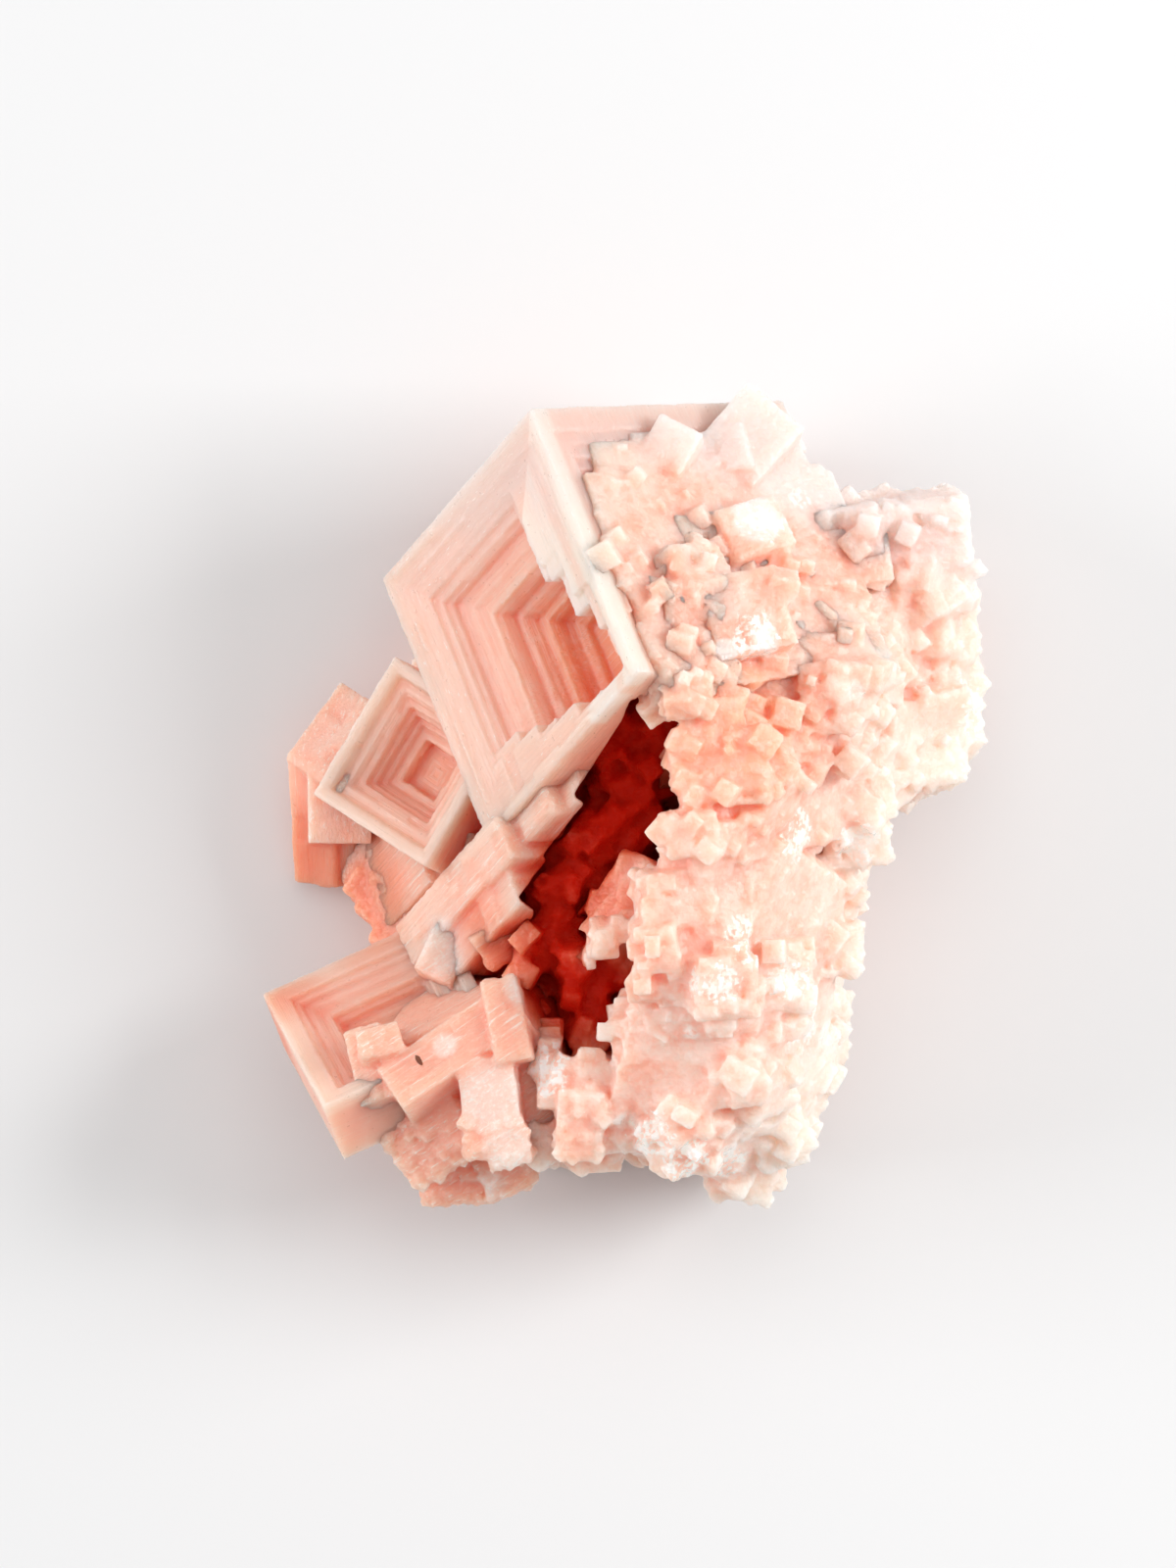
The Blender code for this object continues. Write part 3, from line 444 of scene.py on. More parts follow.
# White sugary spots on the blocks of the lower left: middle and radius.
WHITE_SPOTS = (
    ((-19.8, -16.8, 20.5), 4.6), ((-12.9, -38.8, 31.0), 3.4), ((-19.8, -27.4, 31.0), 1.8),
    ((-11.7, -21.3, 31.0), 2.6), ((-14.9, -43.5, 22.0), 2.6), ((-14.4, -33.2, 31.5), 5.0),
)

# Painted shade, and painted red of light coming through from behind: deep pink places low down
# on the left, middle and radius.
SHADE_AND_GLOW_SPOTS = (
    ((-29.4, -12.5, 9.0), 10.0), ((-34.6, -4.6, 3.0), 7.0), ((-37.0, -25.4, 12.0), 8.0),
    ((-23.0, -37.5, 14.0), 10.0),
)

# Lights: name, place in metres, size of its square in metres, power in watts.
LIGHTS = (
    ("key", (0.66, 0.16, 0.50), 0.36, 5.4),
    ("overhead", (-0.1, 0.5, 1.1), 0.9, 2.4),
    ("left", (-1.0, 0.1, 0.42), 0.7, 7.8),
)
SURROUND = 0.52
FLOOR_SIZE = 12.0
FLOOR_PAINT = (0.72, 0.722, 0.726)
FLOOR_WORN = (0.735, 0.735, 0.737)
SENSOR = 36.0
CAMERA_DISTANCE = 2.0
FRAME_HEIGHT = 0.1728  # metres of the cluster's middle plane that the frame's height takes in
CAMERA_AIM = (-4.1, 1.3, 25.0)


def length_property(name, description, millimetres):
    """A length that a user may change."""
    return bpy.props.FloatProperty(
        name=name, description=description, default=millimetres * MM, unit="LENGTH"
    )


def colour_property(name, description, colour):
    """A colour that a user may change."""
    return bpy.props.FloatVectorProperty(
        name=name, description=description, default=colour, subtype="COLOR", size=3
    )


class HaliteSizes(bpy.types.PropertyGroup):
    """Sizes of the crystals."""

    big_edge: length_property("Large cube", "Edge of the large hopper cube", 34.5)
    second_edge: length_property("Second cube", "Edge of the second hopper cube", 17.8)
    low_edge: length_property("Low cube", "Edge of the lower left hopper crystal", 21.5)
    crust_small: length_property("Small crust spacing", "Spacing of the smallest crust cubes", 1.3)
    fine_terraces: bpy.props.IntProperty(
        name="Fine terraces", description="Terraces cut for each one in the table", default=2, min=1
    )


class HaliteColours(bpy.types.PropertyGroup):
    """Colours of the salt."""

    rim: colour_property("Rim", "Thin clear rims", (0.90, 0.56, 0.45))
    flesh: colour_property("Flesh", "Ordinary pink salt", (0.98, 0.46, 0.34))
    # Painted shade deep in the hopper terraces.
    terrace_shade: colour_property("Salmon", "Deep terraces", (0.99, 0.36, 0.22))
    frost: colour_property("Frost", "White sugary crust", (0.98, 0.62, 0.51))
    # Painted shade: the dull red deep in the crevice.
    crevice_shade: colour_property("Cleft", "Salt inside the crevice", (0.62, 0.018, 0.006))
    # Painted shade: the red at the crevice's lips.
    wall: colour_property("Wall", "Salt at the crevice's lips", (0.84, 0.20, 0.10))
    # Painted shade: deeper red salt towards the table and in the shaded spots low on the left.
    low: colour_property("Low", "Salt low down on the left", (0.82, 0.27, 0.16))
    orange: colour_property("Orange", "The warm patch of the crust", (0.95, 0.40, 0.24))
    # White is also the colour of the painted highlights: the sparkle round the glints and the bright
    # facets.
    white: colour_property("White", "Bright grains", (0.98, 0.88, 0.83))
    rose: colour_property("Rose", "Greyish rose salt at the top", (0.86, 0.75, 0.71))
    mist: colour_property("Mist", "Clear greyish salt of the upper rims", (0.70, 0.60, 0.56))
    cream: colour_property("Cream", "Pale salt of the lower right", (0.98, 0.78, 0.68))
    speck: colour_property("Speck", "The dark grain of dirt", (0.10, 0.02, 0.01))


class Term:
    """A value socket. Operators between terms and numbers add Math nodes."""

    def __init__(self, board, socket):
        self.board = board
        self.socket = socket

    def __add__(self, other):
        return self.board.math("ADD", self, other)

    def __sub__(self, other):
        return self.board.math("SUBTRACT", self, other)

    def __rsub__(self, other):
        return self.board.math("SUBTRACT", other, self)

    def __mul__(self, other):
        return self.board.math("MULTIPLY", self, other)

    __radd__ = __add__
    __rmul__ = __mul__


class Board:
    """One material's node tree."""

    def __init__(self, name):
        self.material = bpy.data.materials.new(name)
        self.material.use_nodes = True
        self.tree = self.material.node_tree
        self.tree.nodes.clear()

    def node(self, kind, settings, values):
        """Add a node: its settings first, then the values or links of its sockets."""
        made = self.tree.nodes.new(kind)
        for key, value in settings.items():
            setattr(made, key, value)
        for key, value in values.items():
            self.put(made.inputs[key], value)
        return made

    def put(self, socket, value):
        """Link a socket, or set its value."""
        if isinstance(value, Term):
            self.tree.links.new(value.socket, socket)
        elif isinstance(value, bpy.types.NodeSocket):
            self.tree.links.new(value, socket)
        else:
            socket.default_value = value

    def math(self, operation, first, second=0.0):
        made = self.node("ShaderNodeMath", {"operation": operation}, {0: first, 1: second})
        return Term(self, made.outputs[0])

    def between(self, value, low, high):
        """0 below low, 1 above high, and a soft step from one to the other."""
        settings = {"interpolation_type": "SMOOTHSTEP"}
        values = {"Value": value, "From Min": low, "From Max": high}
        return Term(self, self.node("ShaderNodeMapRange", settings, values).outputs[0])

    def mix(self, factor, first, second):
        """A colour between two."""
        values = {0: factor, 6: opaque(first), 7: opaque(second)}
        return self.node("ShaderNodeMix", {"data_type": "RGBA"}, values).outputs[2]

    def place(self):
        """Object coordinates in millimetres."""
        coordinates = self.node("ShaderNodeTexCoord", {}, {}).outputs["Object"]
        values = {0: coordinates, 3: 1 / MM}
        return self.node("ShaderNodeVectorMath", {"operation": "SCALE"}, values).outputs[0]

    def along(self, place, axis, start=(0.0, 0.0, 0.0)):
        """How far a place is from start, along an axis."""
        values = {0: place, 1: tuple(axis)}
        made = self.node("ShaderNodeVectorMath", {"operation": "DOT_PRODUCT"}, values)
        return Term(self, made.outputs["Value"]) - Vector(start).dot(Vector(axis))

    def near(self, place, point, full, none):
        """1 within full of a point, falling to 0 at none."""
        made = self.node("ShaderNodeVectorMath", {"operation": "DISTANCE"}, {0: place, 1: point})
        return 1 - self.between(Term(self, made.outputs["Value"]), full, none)

    def noise(self, place, scale, detail=3.0, roughness=0.55):
        values = {"Vector": place, "Scale": scale, "Detail": detail, "Roughness": roughness}
        return Term(self, self.node("ShaderNodeTexNoise", {}, values).outputs[0])

    def cells(self, place, scale, output):
        """Square cells, as small cubes make: their Color, or the Distance from their middles."""
        settings = {"feature": "F1", "distance": "CHEBYCHEV"}
        made = self.node("ShaderNodeTexVoronoi", settings, {"Vector": place, "Scale": scale})
        return Term(self, made.outputs[output])

    def vector(self, x, y, z):
        return self.node("ShaderNodeCombineXYZ", {}, {0: x, 1: y, 2: z}).outputs[0]

    def principled(self, values):
        settings = {"subsurface_method": "RANDOM_WALK"}
        return self.node("ShaderNodeBsdfPrincipled", settings, values).outputs[0]

    def finish(self, values, height, bump, colours, crevice_shade):
        """The salt shader, bumped by a height in millimetres, with painted shade of dull red salt where
        crevice_shade is 1.
        """
        relief = self.node("ShaderNodeBump", {}, {"Strength": bump, "Distance": MM, "Height": height})
        # Painted shade: the salt turns to the wall red at the crevice's lips and to a dull red layer deep
        # in it.
        body = self.mix(self.between(crevice_shade, 0.04, 0.5), values["Base Color"], colours.wall)
        bright = {**values, "Base Color": body, "Normal": relief.outputs[0]}
        dull = {**bright, "Base Color": opaque(colours.crevice_shade), "Specular IOR Level": DULL}
        layers = {0: self.between(crevice_shade, 0.35, 0.85), 1: self.principled(bright), 2: self.principled(dull)}
        shader = self.node("ShaderNodeMixShader", {}, layers).outputs[0]
        self.node("ShaderNodeOutputMaterial", {}, {"Surface": shader})
        return self.material


def opaque(colour):
    """A colour socket or an RGBA value from three numbers."""
    if isinstance(colour, (Term, bpy.types.NodeSocket)):
        return colour
    return (*colour, 1.0)


def salt_body(spread, body, rough, clear=0.0):
    """A salt shader's values: how many millimetres light spreads in it, and its clear share."""
    return {
        "Base Color": body,
        "Roughness": rough,
        "IOR": SALT_IOR,
        "Subsurface Weight": 1.0,
        "Subsurface Radius": SPREAD_RATIO,
        "Subsurface Scale": spread * MM,
        "Transmission Weight": clear,
    }


def axes_of(first, second):
    """Unit vectors along a face's first edge, its second edge, and outwards from it."""
    u = Vector(first).normalized()
    v = Vector(second)
    v = (v - u * v.dot(u)).normalized()
    return u, v, u.cross(v)


def facing_axes(normal, run):
    """Unit vectors of a block that faces along normal, its first edge running along run in the view."""
    n = Vector(normal).normalized()
    u = Vector((run[0], run[1], -(n.x * run[0] + n.y * run[1]) / n.z)).normalized()
    return u, n.cross(u), n


def placing(origin, axes, lengths=(1.0, 1.0, 1.0)):
    """The matrix that sets a shape's own axes along the given ones, from origin in millimetres."""
    columns = [axis * length for axis, length in zip(axes, lengths)]
    return Matrix.Translation(Vector(origin) * MM) @ Matrix(columns).transposed().to_4x4()


def deselect():
    if bpy.context.mode != "OBJECT":
        bpy.ops.object.mode_set(mode="OBJECT")
    bpy.ops.object.select_all(action="DESELECT")


def new_block(name, lengths, corner=False):
    """A block of the given lengths in metres, its middle or its top corner at the origin."""
    deselect()
    place = (lengths[0] / 2, lengths[1] / 2, -lengths[2] / 2) if corner else (0.0, 0.0, 0.0)
    bpy.ops.mesh.primitive_cube_add(size=1.0, location=place, scale=lengths)
    bpy.ops.object.transform_apply(location=True, rotation=True, scale=True)
    made = bpy.context.object
    made.name = name
    return made


def pick_faces(obj, wanted):
    """In edit mode, select the faces that wanted says yes to."""
    shape = bmesh.from_edit_mesh(obj.data)
    for face in shape.faces:
        face.select_set(bool(wanted(face)))
    bmesh.update_edit_mesh(obj.data)


def edit_faces(obj, wanted):
    """Enter edit mode with only the wanted faces selected."""
    bpy.context.view_layer.objects.active = obj
    bpy.ops.object.mode_set(mode="EDIT")
    bpy.ops.mesh.select_mode(type="FACE")
    bpy.ops.mesh.select_all(action="DESELECT")
    pick_faces(obj, wanted)


def is_top(face):
    return face.normal.z > 0.99


def finer(terraces, steps, rng):
    """Each terrace of the table split into steps of uneven width and depth."""
    rows = []
    last = (0.0,) * 5
    for terrace in terraces:
        cuts = sorted(rng.uniform(0.1, 0.95) for _ in range(steps - 1)) + [1.0]
        sinks = sorted(rng.uniform(0.05, 0.95) for _ in range(steps - 1)) + [1.0]
        for cut, sink in zip(cuts, sinks):
            inset = [a + (b - a) * cut for a, b in zip(last[:4], terrace[:4])]
            rows.append((*inset, last[4] + (terrace[4] - last[4]) * sink))
        last = terrace
    return rows


def sink_terraces(obj, edges, terraces):
    """Cut terraces into the top face of a block whose top corner is at the origin."""
    edit_faces(obj, is_top)
    x0, x1, y0, y1, low = 0.0, edges[0], 0.0, edges[1], 0.0
    for start_u, end_u, start_v, end_v, depth in terraces:
        nx0, nx1 = start_u * MM, edges[0] - end_u * MM
        ny0, ny1 = start_v * MM, edges[1] - end_v * MM
        bpy.ops.mesh.inset(thickness=THIN)
        grow = ((nx1 - nx0) / (x1 - x0 - 2 * THIN), (ny1 - ny0) / (y1 - y0 - 2 * THIN), 1.0)
        middle = ((x0 + x1) / 2, (y0 + y1) / 2, -low)
        bpy.ops.transform.resize(value=grow, center_override=middle)
        shift = ((nx0 + nx1) / 2 - middle[0], (ny0 + ny1) / 2 - middle[1], 0.0)
        bpy.ops.transform.translate(value=shift)
        drop = {"value": (0.0, 0.0, low - depth * MM)}
        bpy.ops.mesh.extrude_region_move(TRANSFORM_OT_translate=drop)
        x0, x1, y0, y1, low = nx0, nx1, ny0, ny1, depth * MM
    bpy.ops.object.mode_set(mode="OBJECT")


def apply_modifier(obj, kind, **settings):
    """Add a modifier, set it and apply it."""
    deselect()
    obj.select_set(True)
    bpy.context.view_layer.objects.active = obj
    made = obj.modifiers.new(kind.title(), kind)
    for key, value in settings.items():
        setattr(made, key, value)
    bpy.ops.object.modifier_apply(modifier=made.name)


def new_collection(name):
    made = bpy.data.collections.new(name)
    bpy.context.scene.collection.children.link(made)
    return made


def discard(collection):
    """Remove a collection of helper pieces and their meshes."""
    pieces = list(collection.objects)
    meshes = {piece.data for piece in pieces}
    bpy.data.batch_remove(pieces)
    bpy.data.batch_remove([mesh for mesh in meshes if mesh.users == 0])
    bpy.data.collections.remove(collection)


def join_all(obj, operation, pieces):
    """Join or cut a shape with every piece of a collection, then drop the pieces."""
    settings = {"operation": operation, "operand_type": "COLLECTION", "collection": pieces}
    apply_modifier(obj, "BOOLEAN", solver="MANIFOLD", **settings)
    discard(pieces)


def move_to(obj, collection):
    """Keep an object in one collection only."""
    for owner in list(obj.users_collection):
        owner.objects.unlink(obj)
    collection.objects.link(obj)


def copy_shape(seed, name, matrix, collection):
    """A copy of a seed crystal with its own mesh, placed by a matrix."""
    mesh = seed.data.copy()
    mesh.transform(matrix)
    if matrix.determinant() < 0:
        mesh.flip_normals()
    made = bpy.data.objects.new(name, mesh)
    collection.objects.link(made)
    return made


def copy_box(box, name, spot, size, collection):
    """A block of a size with its middle at a spot, in metres."""
    matrix = Matrix.Translation(spot) @ Matrix.Diagonal((*size, 1.0))
    return copy_shape(box, name, matrix, collection)


def gather(obj, pieces):
    """Take every piece of a collection into one mesh, as overlapping skins."""
    shape = bmesh.new()
    shape.from_mesh(obj.data)
    for piece in pieces.objects:
        shape.from_mesh(piece.data)
    shape.to_mesh(obj.data)
    shape.free()
    discard(pieces)


def count_triangles(obj):
    obj.data.calc_loop_triangles()
    return len(obj.data.loop_triangles)


def grit_displace(obj, kind, size, stand):
    """Push the skin in and out by a texture with grains of a size, in millimetres."""
    texture = bpy.data.textures.new("grit", kind)
    texture.noise_scale = size * MM
    if kind == "VORONOI":
        texture.distance_metric = "CHEBYCHEV"
    apply_modifier(
        obj, "DISPLACE", texture=texture, texture_coords="LOCAL", strength=stand * MM, mid_level=0.5
    )
    bpy.data.textures.remove(texture)


def fuse(obj, voxel, rounds, grit, most):
    """Grow overlapping crystals together into one softened skin, with grit on it."""
    apply_modifier(obj, "REMESH", mode="VOXEL", voxel_size=voxel * MM, use_smooth_shade=True)
    keep_largest(obj)
    if rounds:
        apply_modifier(obj, "SMOOTH", factor=0.5, iterations=rounds)
    for kind, size, stand in grit:
        grit_displace(obj, kind, size, stand)
    count = count_triangles(obj)
    if count > most:
        apply_modifier(obj, "DECIMATE", ratio=most / count)
    for vertex in obj.data.vertices:
        vertex.co.z = max(vertex.co.z, 0.0)


def shade(obj):
    """Smooth shading, with every real crystal edge kept sharp."""
    deselect()
    obj.select_set(True)
    bpy.context.view_layer.objects.active = obj
    bpy.ops.object.shade_smooth_by_angle(angle=math.radians(SHADE_ANGLE))


def finish_crystal(obj, material):
    """Fuse a piece as the table says, shade it and dress it."""
    fuse(obj, *SKINS[obj.name])
    shade(obj)
    dress(obj, material)


def box_seed():
    """A plain block of edge 1, out of the scene, to copy for plates, ledges and cutters."""
    seed = new_block("box", (1.0, 1.0, 1.0))
    hide_seed(seed)
    return seed


def hide_seed(seed):
    """Take a seed crystal out of the scene; it stays in the file's data until it is dropped."""
    for owner in list(seed.users_collection):
        owner.objects.unlink(seed)


def drop_seeds(seeds):
    meshes = [seed.data for seed in seeds]
    bpy.data.batch_remove(seeds)
    bpy.data.batch_remove(meshes)


def hull(name, points, collection):
    """A convex lump round points."""
    mesh = bpy.data.meshes.new(name)
    mesh.from_pydata([Vector(point) * MM for point in points], [], [])
    made = bpy.data.objects.new(name, mesh)
    bpy.context.scene.collection.objects.link(made)
    deselect()
    made.select_set(True)
    bpy.context.view_layer.objects.active = made
    bpy.ops.object.mode_set(mode="EDIT")
    bpy.ops.mesh.select_all(action="SELECT")
    bpy.ops.mesh.convex_hull()
    bpy.ops.object.mode_set(mode="OBJECT")
    move_to(made, collection)
    return made


def keep_largest(obj):
    """Drop sealed pockets and loose crumbs, so that one closed skin is left."""
    shape = bmesh.new()
    shape.from_mesh(obj.data)
    shape.verts.index_update()
    seen = set()
    skins = []
    for start in shape.verts:
        if start.index in seen:
            continue
        seen.add(start.index)
        skin = [start]
        for vertex in skin:
            for edge in vertex.link_edges:
                other = edge.other_vert(vertex)
                if other.index not in seen:
                    seen.add(other.index)
                    skin.append(other)
        skins.append(skin)
    skins.sort(key=len)
    bmesh.ops.delete(shape, geom=[v for skin in skins[:-1] for v in skin], context="VERTS")
    shape.to_mesh(obj.data)
    shape.free()


def cut_base(obj):
    """Trim what would reach below the table."""
    tools = new_collection("base_cut")
    block = new_block("base", (0.2, 0.2, 0.06))
    block.data.transform(Matrix.Translation((0.0, 0.0, -0.03)))
    move_to(block, tools)
    join_all(obj, "DIFFERENCE", tools)


def dress(obj, material):
    """Give a finished crystal its salt and its place in the visual model."""
    obj.data.materials.clear()
    obj.data.materials.append(material)
    for polygon in obj.data.polygons:
        polygon.material_index = 0
    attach(obj, "root")
    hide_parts(NODE)


def crevice_cutters(collection, rng):
    """Upright cuts with blocky walls, along the crevice."""
    box = box_seed()
    for bottom, run, (length, width) in CREVICE_CUTS:
        axes = facing_axes((0.0, 0.0, 1.0), run)
        middle = (bottom[0], bottom[1], (bottom[2] + CUT_TOP) / 2)
        lengths = (length * MM, width * MM, (CUT_TOP - bottom[2]) * MM)
        copy_shape(box, "cut", placing(middle, axes, lengths), collection)
        for _ in range(CHIPS_PER_CUT):
            edge = rng.uniform(*CHIP_EDGE) * MM
            spot = Vector(bottom) + axes[0] * rng.uniform(-0.5, 0.5) * length
            spot += axes[1] * rng.choice((-0.5, 0.5)) * width
            spot.z = rng.uniform(bottom[2] + 1, CHIP_TOP)
            turn = Matrix.Rotation(rng.uniform(-0.4, 0.4), 3, "Z")
            chip_axes = [turn @ axis for axis in axes]
            tall = rng.uniform(*CHIP_HEIGHT) * MM
            copy_shape(box, "chip", placing(spot, chip_axes, (edge, edge, tall)), collection)
    drop_seeds([box])


def growth_plates(obj, lengths, count, rng, thick, faces):
    """Raise thin square-cornered plates on a block's faces, as a crystal grows."""
    tools = new_collection("plates")
    box = box_seed()
    half = Vector(lengths) / 2
    for _ in range(count):
        side = rng.choice(faces)
        axis, sign = side // 2, 1 - 2 * (side % 2)
        size = [rng.uniform(*PLATE_WIDE) * length for length in lengths]
        size[axis] = 2 * rng.uniform(*thick) * MM
        spot = [rng.uniform(-1, 1) * (half[k] - size[k] / 2) for k in range(3)]
        spot[axis] = sign * half[axis]
        for k in range(3):
            if k != axis and rng.random() < 0.55:
                spot[k] = math.copysign(half[k] - size[k] / 2 - rng.uniform(0.05, 0.5) * MM, spot[k])
        copy_box(box, "plate", spot, size, tools)
    drop_seeds([box])
    join_all(obj, "UNION", tools)


def soften(obj, width):
    """Wear the edges a little."""
    apply_modifier(
        obj, "BEVEL", width=width, segments=1, limit_method="ANGLE", angle_limit=math.radians(BEVEL_ANGLE),
        miter_outer="MITER_ARC",
    )


def small_seeds():
    """The small crystals that the crust repeats: plain, hopper, stepped and twinned cubes."""
    seeds = [new_block(name, (1.0, 1.0, 1.0)) for name in ("plain", "hopper", "stepped", "twin")]
    plain, hopper, stepped, twin = seeds
    soften(plain, 0.05)
    edit_faces(hopper, is_top)
    for inset, sink in ((0.16, -0.14), (0.14, -0.12)):
        bpy.ops.mesh.inset(thickness=inset)
        bpy.ops.mesh.extrude_region_move(TRANSFORM_OT_translate={"value": (0.0, 0.0, sink)})
    bpy.ops.object.mode_set(mode="OBJECT")
    edit_faces(stepped, is_top)
    bpy.ops.mesh.inset(thickness=0.13)
    bpy.ops.transform.translate(value=(0.08, -0.05, 0.0))
    bpy.ops.mesh.extrude_region_move(TRANSFORM_OT_translate={"value": (0.0, 0.0, 0.13)})
    bpy.ops.object.mode_set(mode="OBJECT")
    edit_faces(twin, lambda face: face.normal.x > 0.99 or face.normal.z > 0.99)
    bpy.ops.mesh.inset(thickness=0.22, use_individual=True)
    bpy.ops.mesh.extrude_faces_move(TRANSFORM_OT_shrink_fatten={"value": -0.28})
    bpy.ops.object.mode_set(mode="OBJECT")
    for seed in seeds:
        hide_seed(seed)
    return seeds


def grown_seeds(count, rng):
    """Cubes of edge 1 with stepped growth on their faces."""
    return [grown_seed(f"grown_{index}", rng) for index in range(count)]


def grown_seed(name, rng):
    """A cube of edge 1 with stepped growth on its faces, for crystals a few millimetres across."""
    cube = new_block(name, (1.0, 1.0, 1.0))
    box = box_seed()
    tools = new_collection("growth")
    for _ in range(SEED_PLATES):
        side = rng.choice((0, 1, 2, 2, 2, 3, 4))
        axis, sign = side % 3, 1 if side < 3 else -1
        size = [rng.uniform(0.25, 0.85) for _ in range(3)]
        size[axis] = rng.uniform(0.03, 0.1)
        spot = [rng.choice((-1, 1)) * (0.5 - size[k] / 2 - rng.uniform(0.01, 0.08)) for k in range(3)]
        spot[axis] = sign * 0.5
        copy_box(box, "plate", spot, size, tools)
    join_all(cube, "UNION", tools)
    tools = new_collection("pits")
    for _ in range(SEED_PITS):
        size = [rng.uniform(0.15, 0.4), rng.uniform(0.15, 0.4), rng.uniform(0.04, 0.1)]
        spot = (rng.uniform(-0.3, 0.3), rng.uniform(-0.3, 0.3), 0.5)
        copy_box(box, "pit", spot, size, tools)
    drop_seeds([box])
    join_all(cube, "DIFFERENCE", tools)
    apply_modifier(cube, "BEVEL", width=0.014, segments=1, limit_method="ANGLE")
    hide_seed(cube)
    return cube


def skin_points(obj, count, spacing, rng):
    """Places spread over a shape's skin, at least about spacing apart, and the way it faces there."""
    mesh = obj.data
    mesh.calc_loop_triangles()
    triangles = list(mesh.loop_triangles)
    weights = [triangle.area for triangle in triangles]
    taken = set()
    found = []
    for triangle in rng.choices(triangles, weights, k=count):
        a, b, c = (mesh.vertices[index].co for index in triangle.vertices)
        s, t = rng.random(), rng.random()
        if s + t > 1:
            s, t = 1 - s, 1 - t
        place = (a + (b - a) * s + (c - a) * t) / MM
        cell = tuple(math.floor(value / spacing) for value in place)
        if cell in taken:
            continue
        taken.add(cell)
        found.append((place, triangle.normal.copy()))
    return found


def domains(rng, count, low, high, tilt):
    """Centres of patches within which small crystals lie nearly parallel, and each patch's turn."""
    made = []
    for _ in range(count):
        centre = Vector([rng.uniform(a, b) for a, b in zip(low, high)])
        turn = Euler([rng.uniform(-tilt, tilt), rng.uniform(-tilt, tilt), rng.uniform(-0.75, 0.75)])
        made.append((centre, turn.to_matrix()))
    return made


def sugariness(place):
    """How likely a fine grain is to grow at a place: patchy on top, thick towards the foot."""
    patchy = 0.85 if noise.noise(place * 0.17) > 0.08 else 0.22
    return max(patchy, 0.8 if place.z < 24 else 0.0)


def scatter(seeds, places, kind, rng, collection, patches):
    """Grow small cubes of a kind at places on a skin, each nearly parallel to its patch."""
    _, sizes, lift, own = kind
    for index, (place, normal) in enumerate(places):
        patch = min(patches, key=lambda item: (item[0] - place).length)[1]
        wild = math.pi if rng.random() < own else GRAIN_STRAY
        turn = Euler([rng.uniform(-wild, wild) for _ in range(3)]).to_matrix() @ patch
        axes = [turn.col[0], turn.col[1], turn.col[2]]
        top = max(range(3), key=lambda k: abs(axes[k].dot(normal)))
        out = axes[top] * (1 if axes[top].dot(normal) > 0 else -1)
        side = axes[(top + 1) % 3]
        edge = sizes[0] + (sizes[1] - sizes[0]) * rng.random() ** 2
        lengths = (edge * MM * rng.uniform(0.7, 1.3), edge * MM * rng.uniform(0.8, 1.2), edge * MM)
        spot = place + normal * edge * (rng.uniform(*lift) - 0.5) * 0.8
        matrix = placing(spot, (side, out.cross(side), out), lengths)
        copy_shape(rng.choice(seeds), f"grain_{index}", matrix, collection)


def in_clear_crystal(place):
    """Whether a place lies on one of the clear crystals that no small cubes grow on."""
    return any((place - Vector(middle)).length < radius for middle, radius in CLEAR_CRYSTALS)


def add_single_blocks(table, collection, rng):
    """Crystals that face their own way, each with growth plates of its own."""
    for name, face, normal, run, lengths in table:
        axes = facing_axes(normal, run)
        spot = Vector(face) - axes[2] * lengths[2] / 2
        real = [length * MM for length in lengths]
        block = new_block(name, real)
        growth_plates(block, real, BLOCK_PLATES, rng, BLOCK_PLATE_THICK, BLOCK_PLATE_FACES)
        soften(block, BLOCK_ROUND)
        block.data.transform(placing(spot, axes))
        move_to(block, collection)


def add_ledges(collection, rng, edges, terraces):
    """Thin uneven ledges along the terrace edges of a hopper face."""
    box = box_seed()
    for start_u, end_u, start_v, end_v, depth in terraces:
        low = (start_u, start_v)
        high = (edges[0] / MM - end_u, edges[1] / MM - end_v)
        for side in range(4):
            axis = side // 2
            across = 1 - axis
            for _ in range(LEDGES_PER_SIDE):
                length = rng.uniform(0.08, 0.5) * (high[across] - low[across])
                start = rng.uniform(low[across], high[across] - length)
                width = rng.uniform(*LEDGE_WIDE)
                line = low[axis] if side % 2 == 0 else high[axis]
                size = [0.0, 0.0, rng.uniform(*LEDGE_THICK)]
                size[axis], size[across] = width, length
                spot = [0.0, 0.0, -depth + rng.uniform(-0.2, 0.35)]
                spot[axis] = line + rng.uniform(-0.35, 0.35) * width
                spot[across] = start + length / 2
                copy_box(box, "ledge", Vector(spot) * MM, [value * MM for value in size], collection)
    drop_seeds([box])


def cut_outer_steps(cube, edges, steps):
    """Sink square steps into the outer face that starts at the first edge."""
    box = box_seed()
    tools = new_collection("steps")
    reach = edges[1] + 2 * MM
    for in_from_top, in_from_rim, depth in steps:
        size = (depth * MM + 2 * MM, reach, reach)
        spot = (depth * MM / 2 - MM, in_from_top * MM + reach / 2, -in_from_rim * MM - reach / 2)
        copy_box(box, "step", spot, size, tools)
    drop_seeds([box])
    join_all(cube, "DIFFERENCE", tools)


def add_slabs(collection, slabs):
    """Slabs that thicken the rim of a hopper face."""
    box = box_seed()
    for start_u, end_u, start_v, end_v, top, low in slabs:
        size = [value * MM for value in (end_u - start_u, end_v - start_v, top - low)]
        spot = [value * MM / 2 for value in (start_u + end_u, start_v + end_v, top + low)]
        copy_box(box, "slab", spot, size, collection)
    drop_seeds([box])


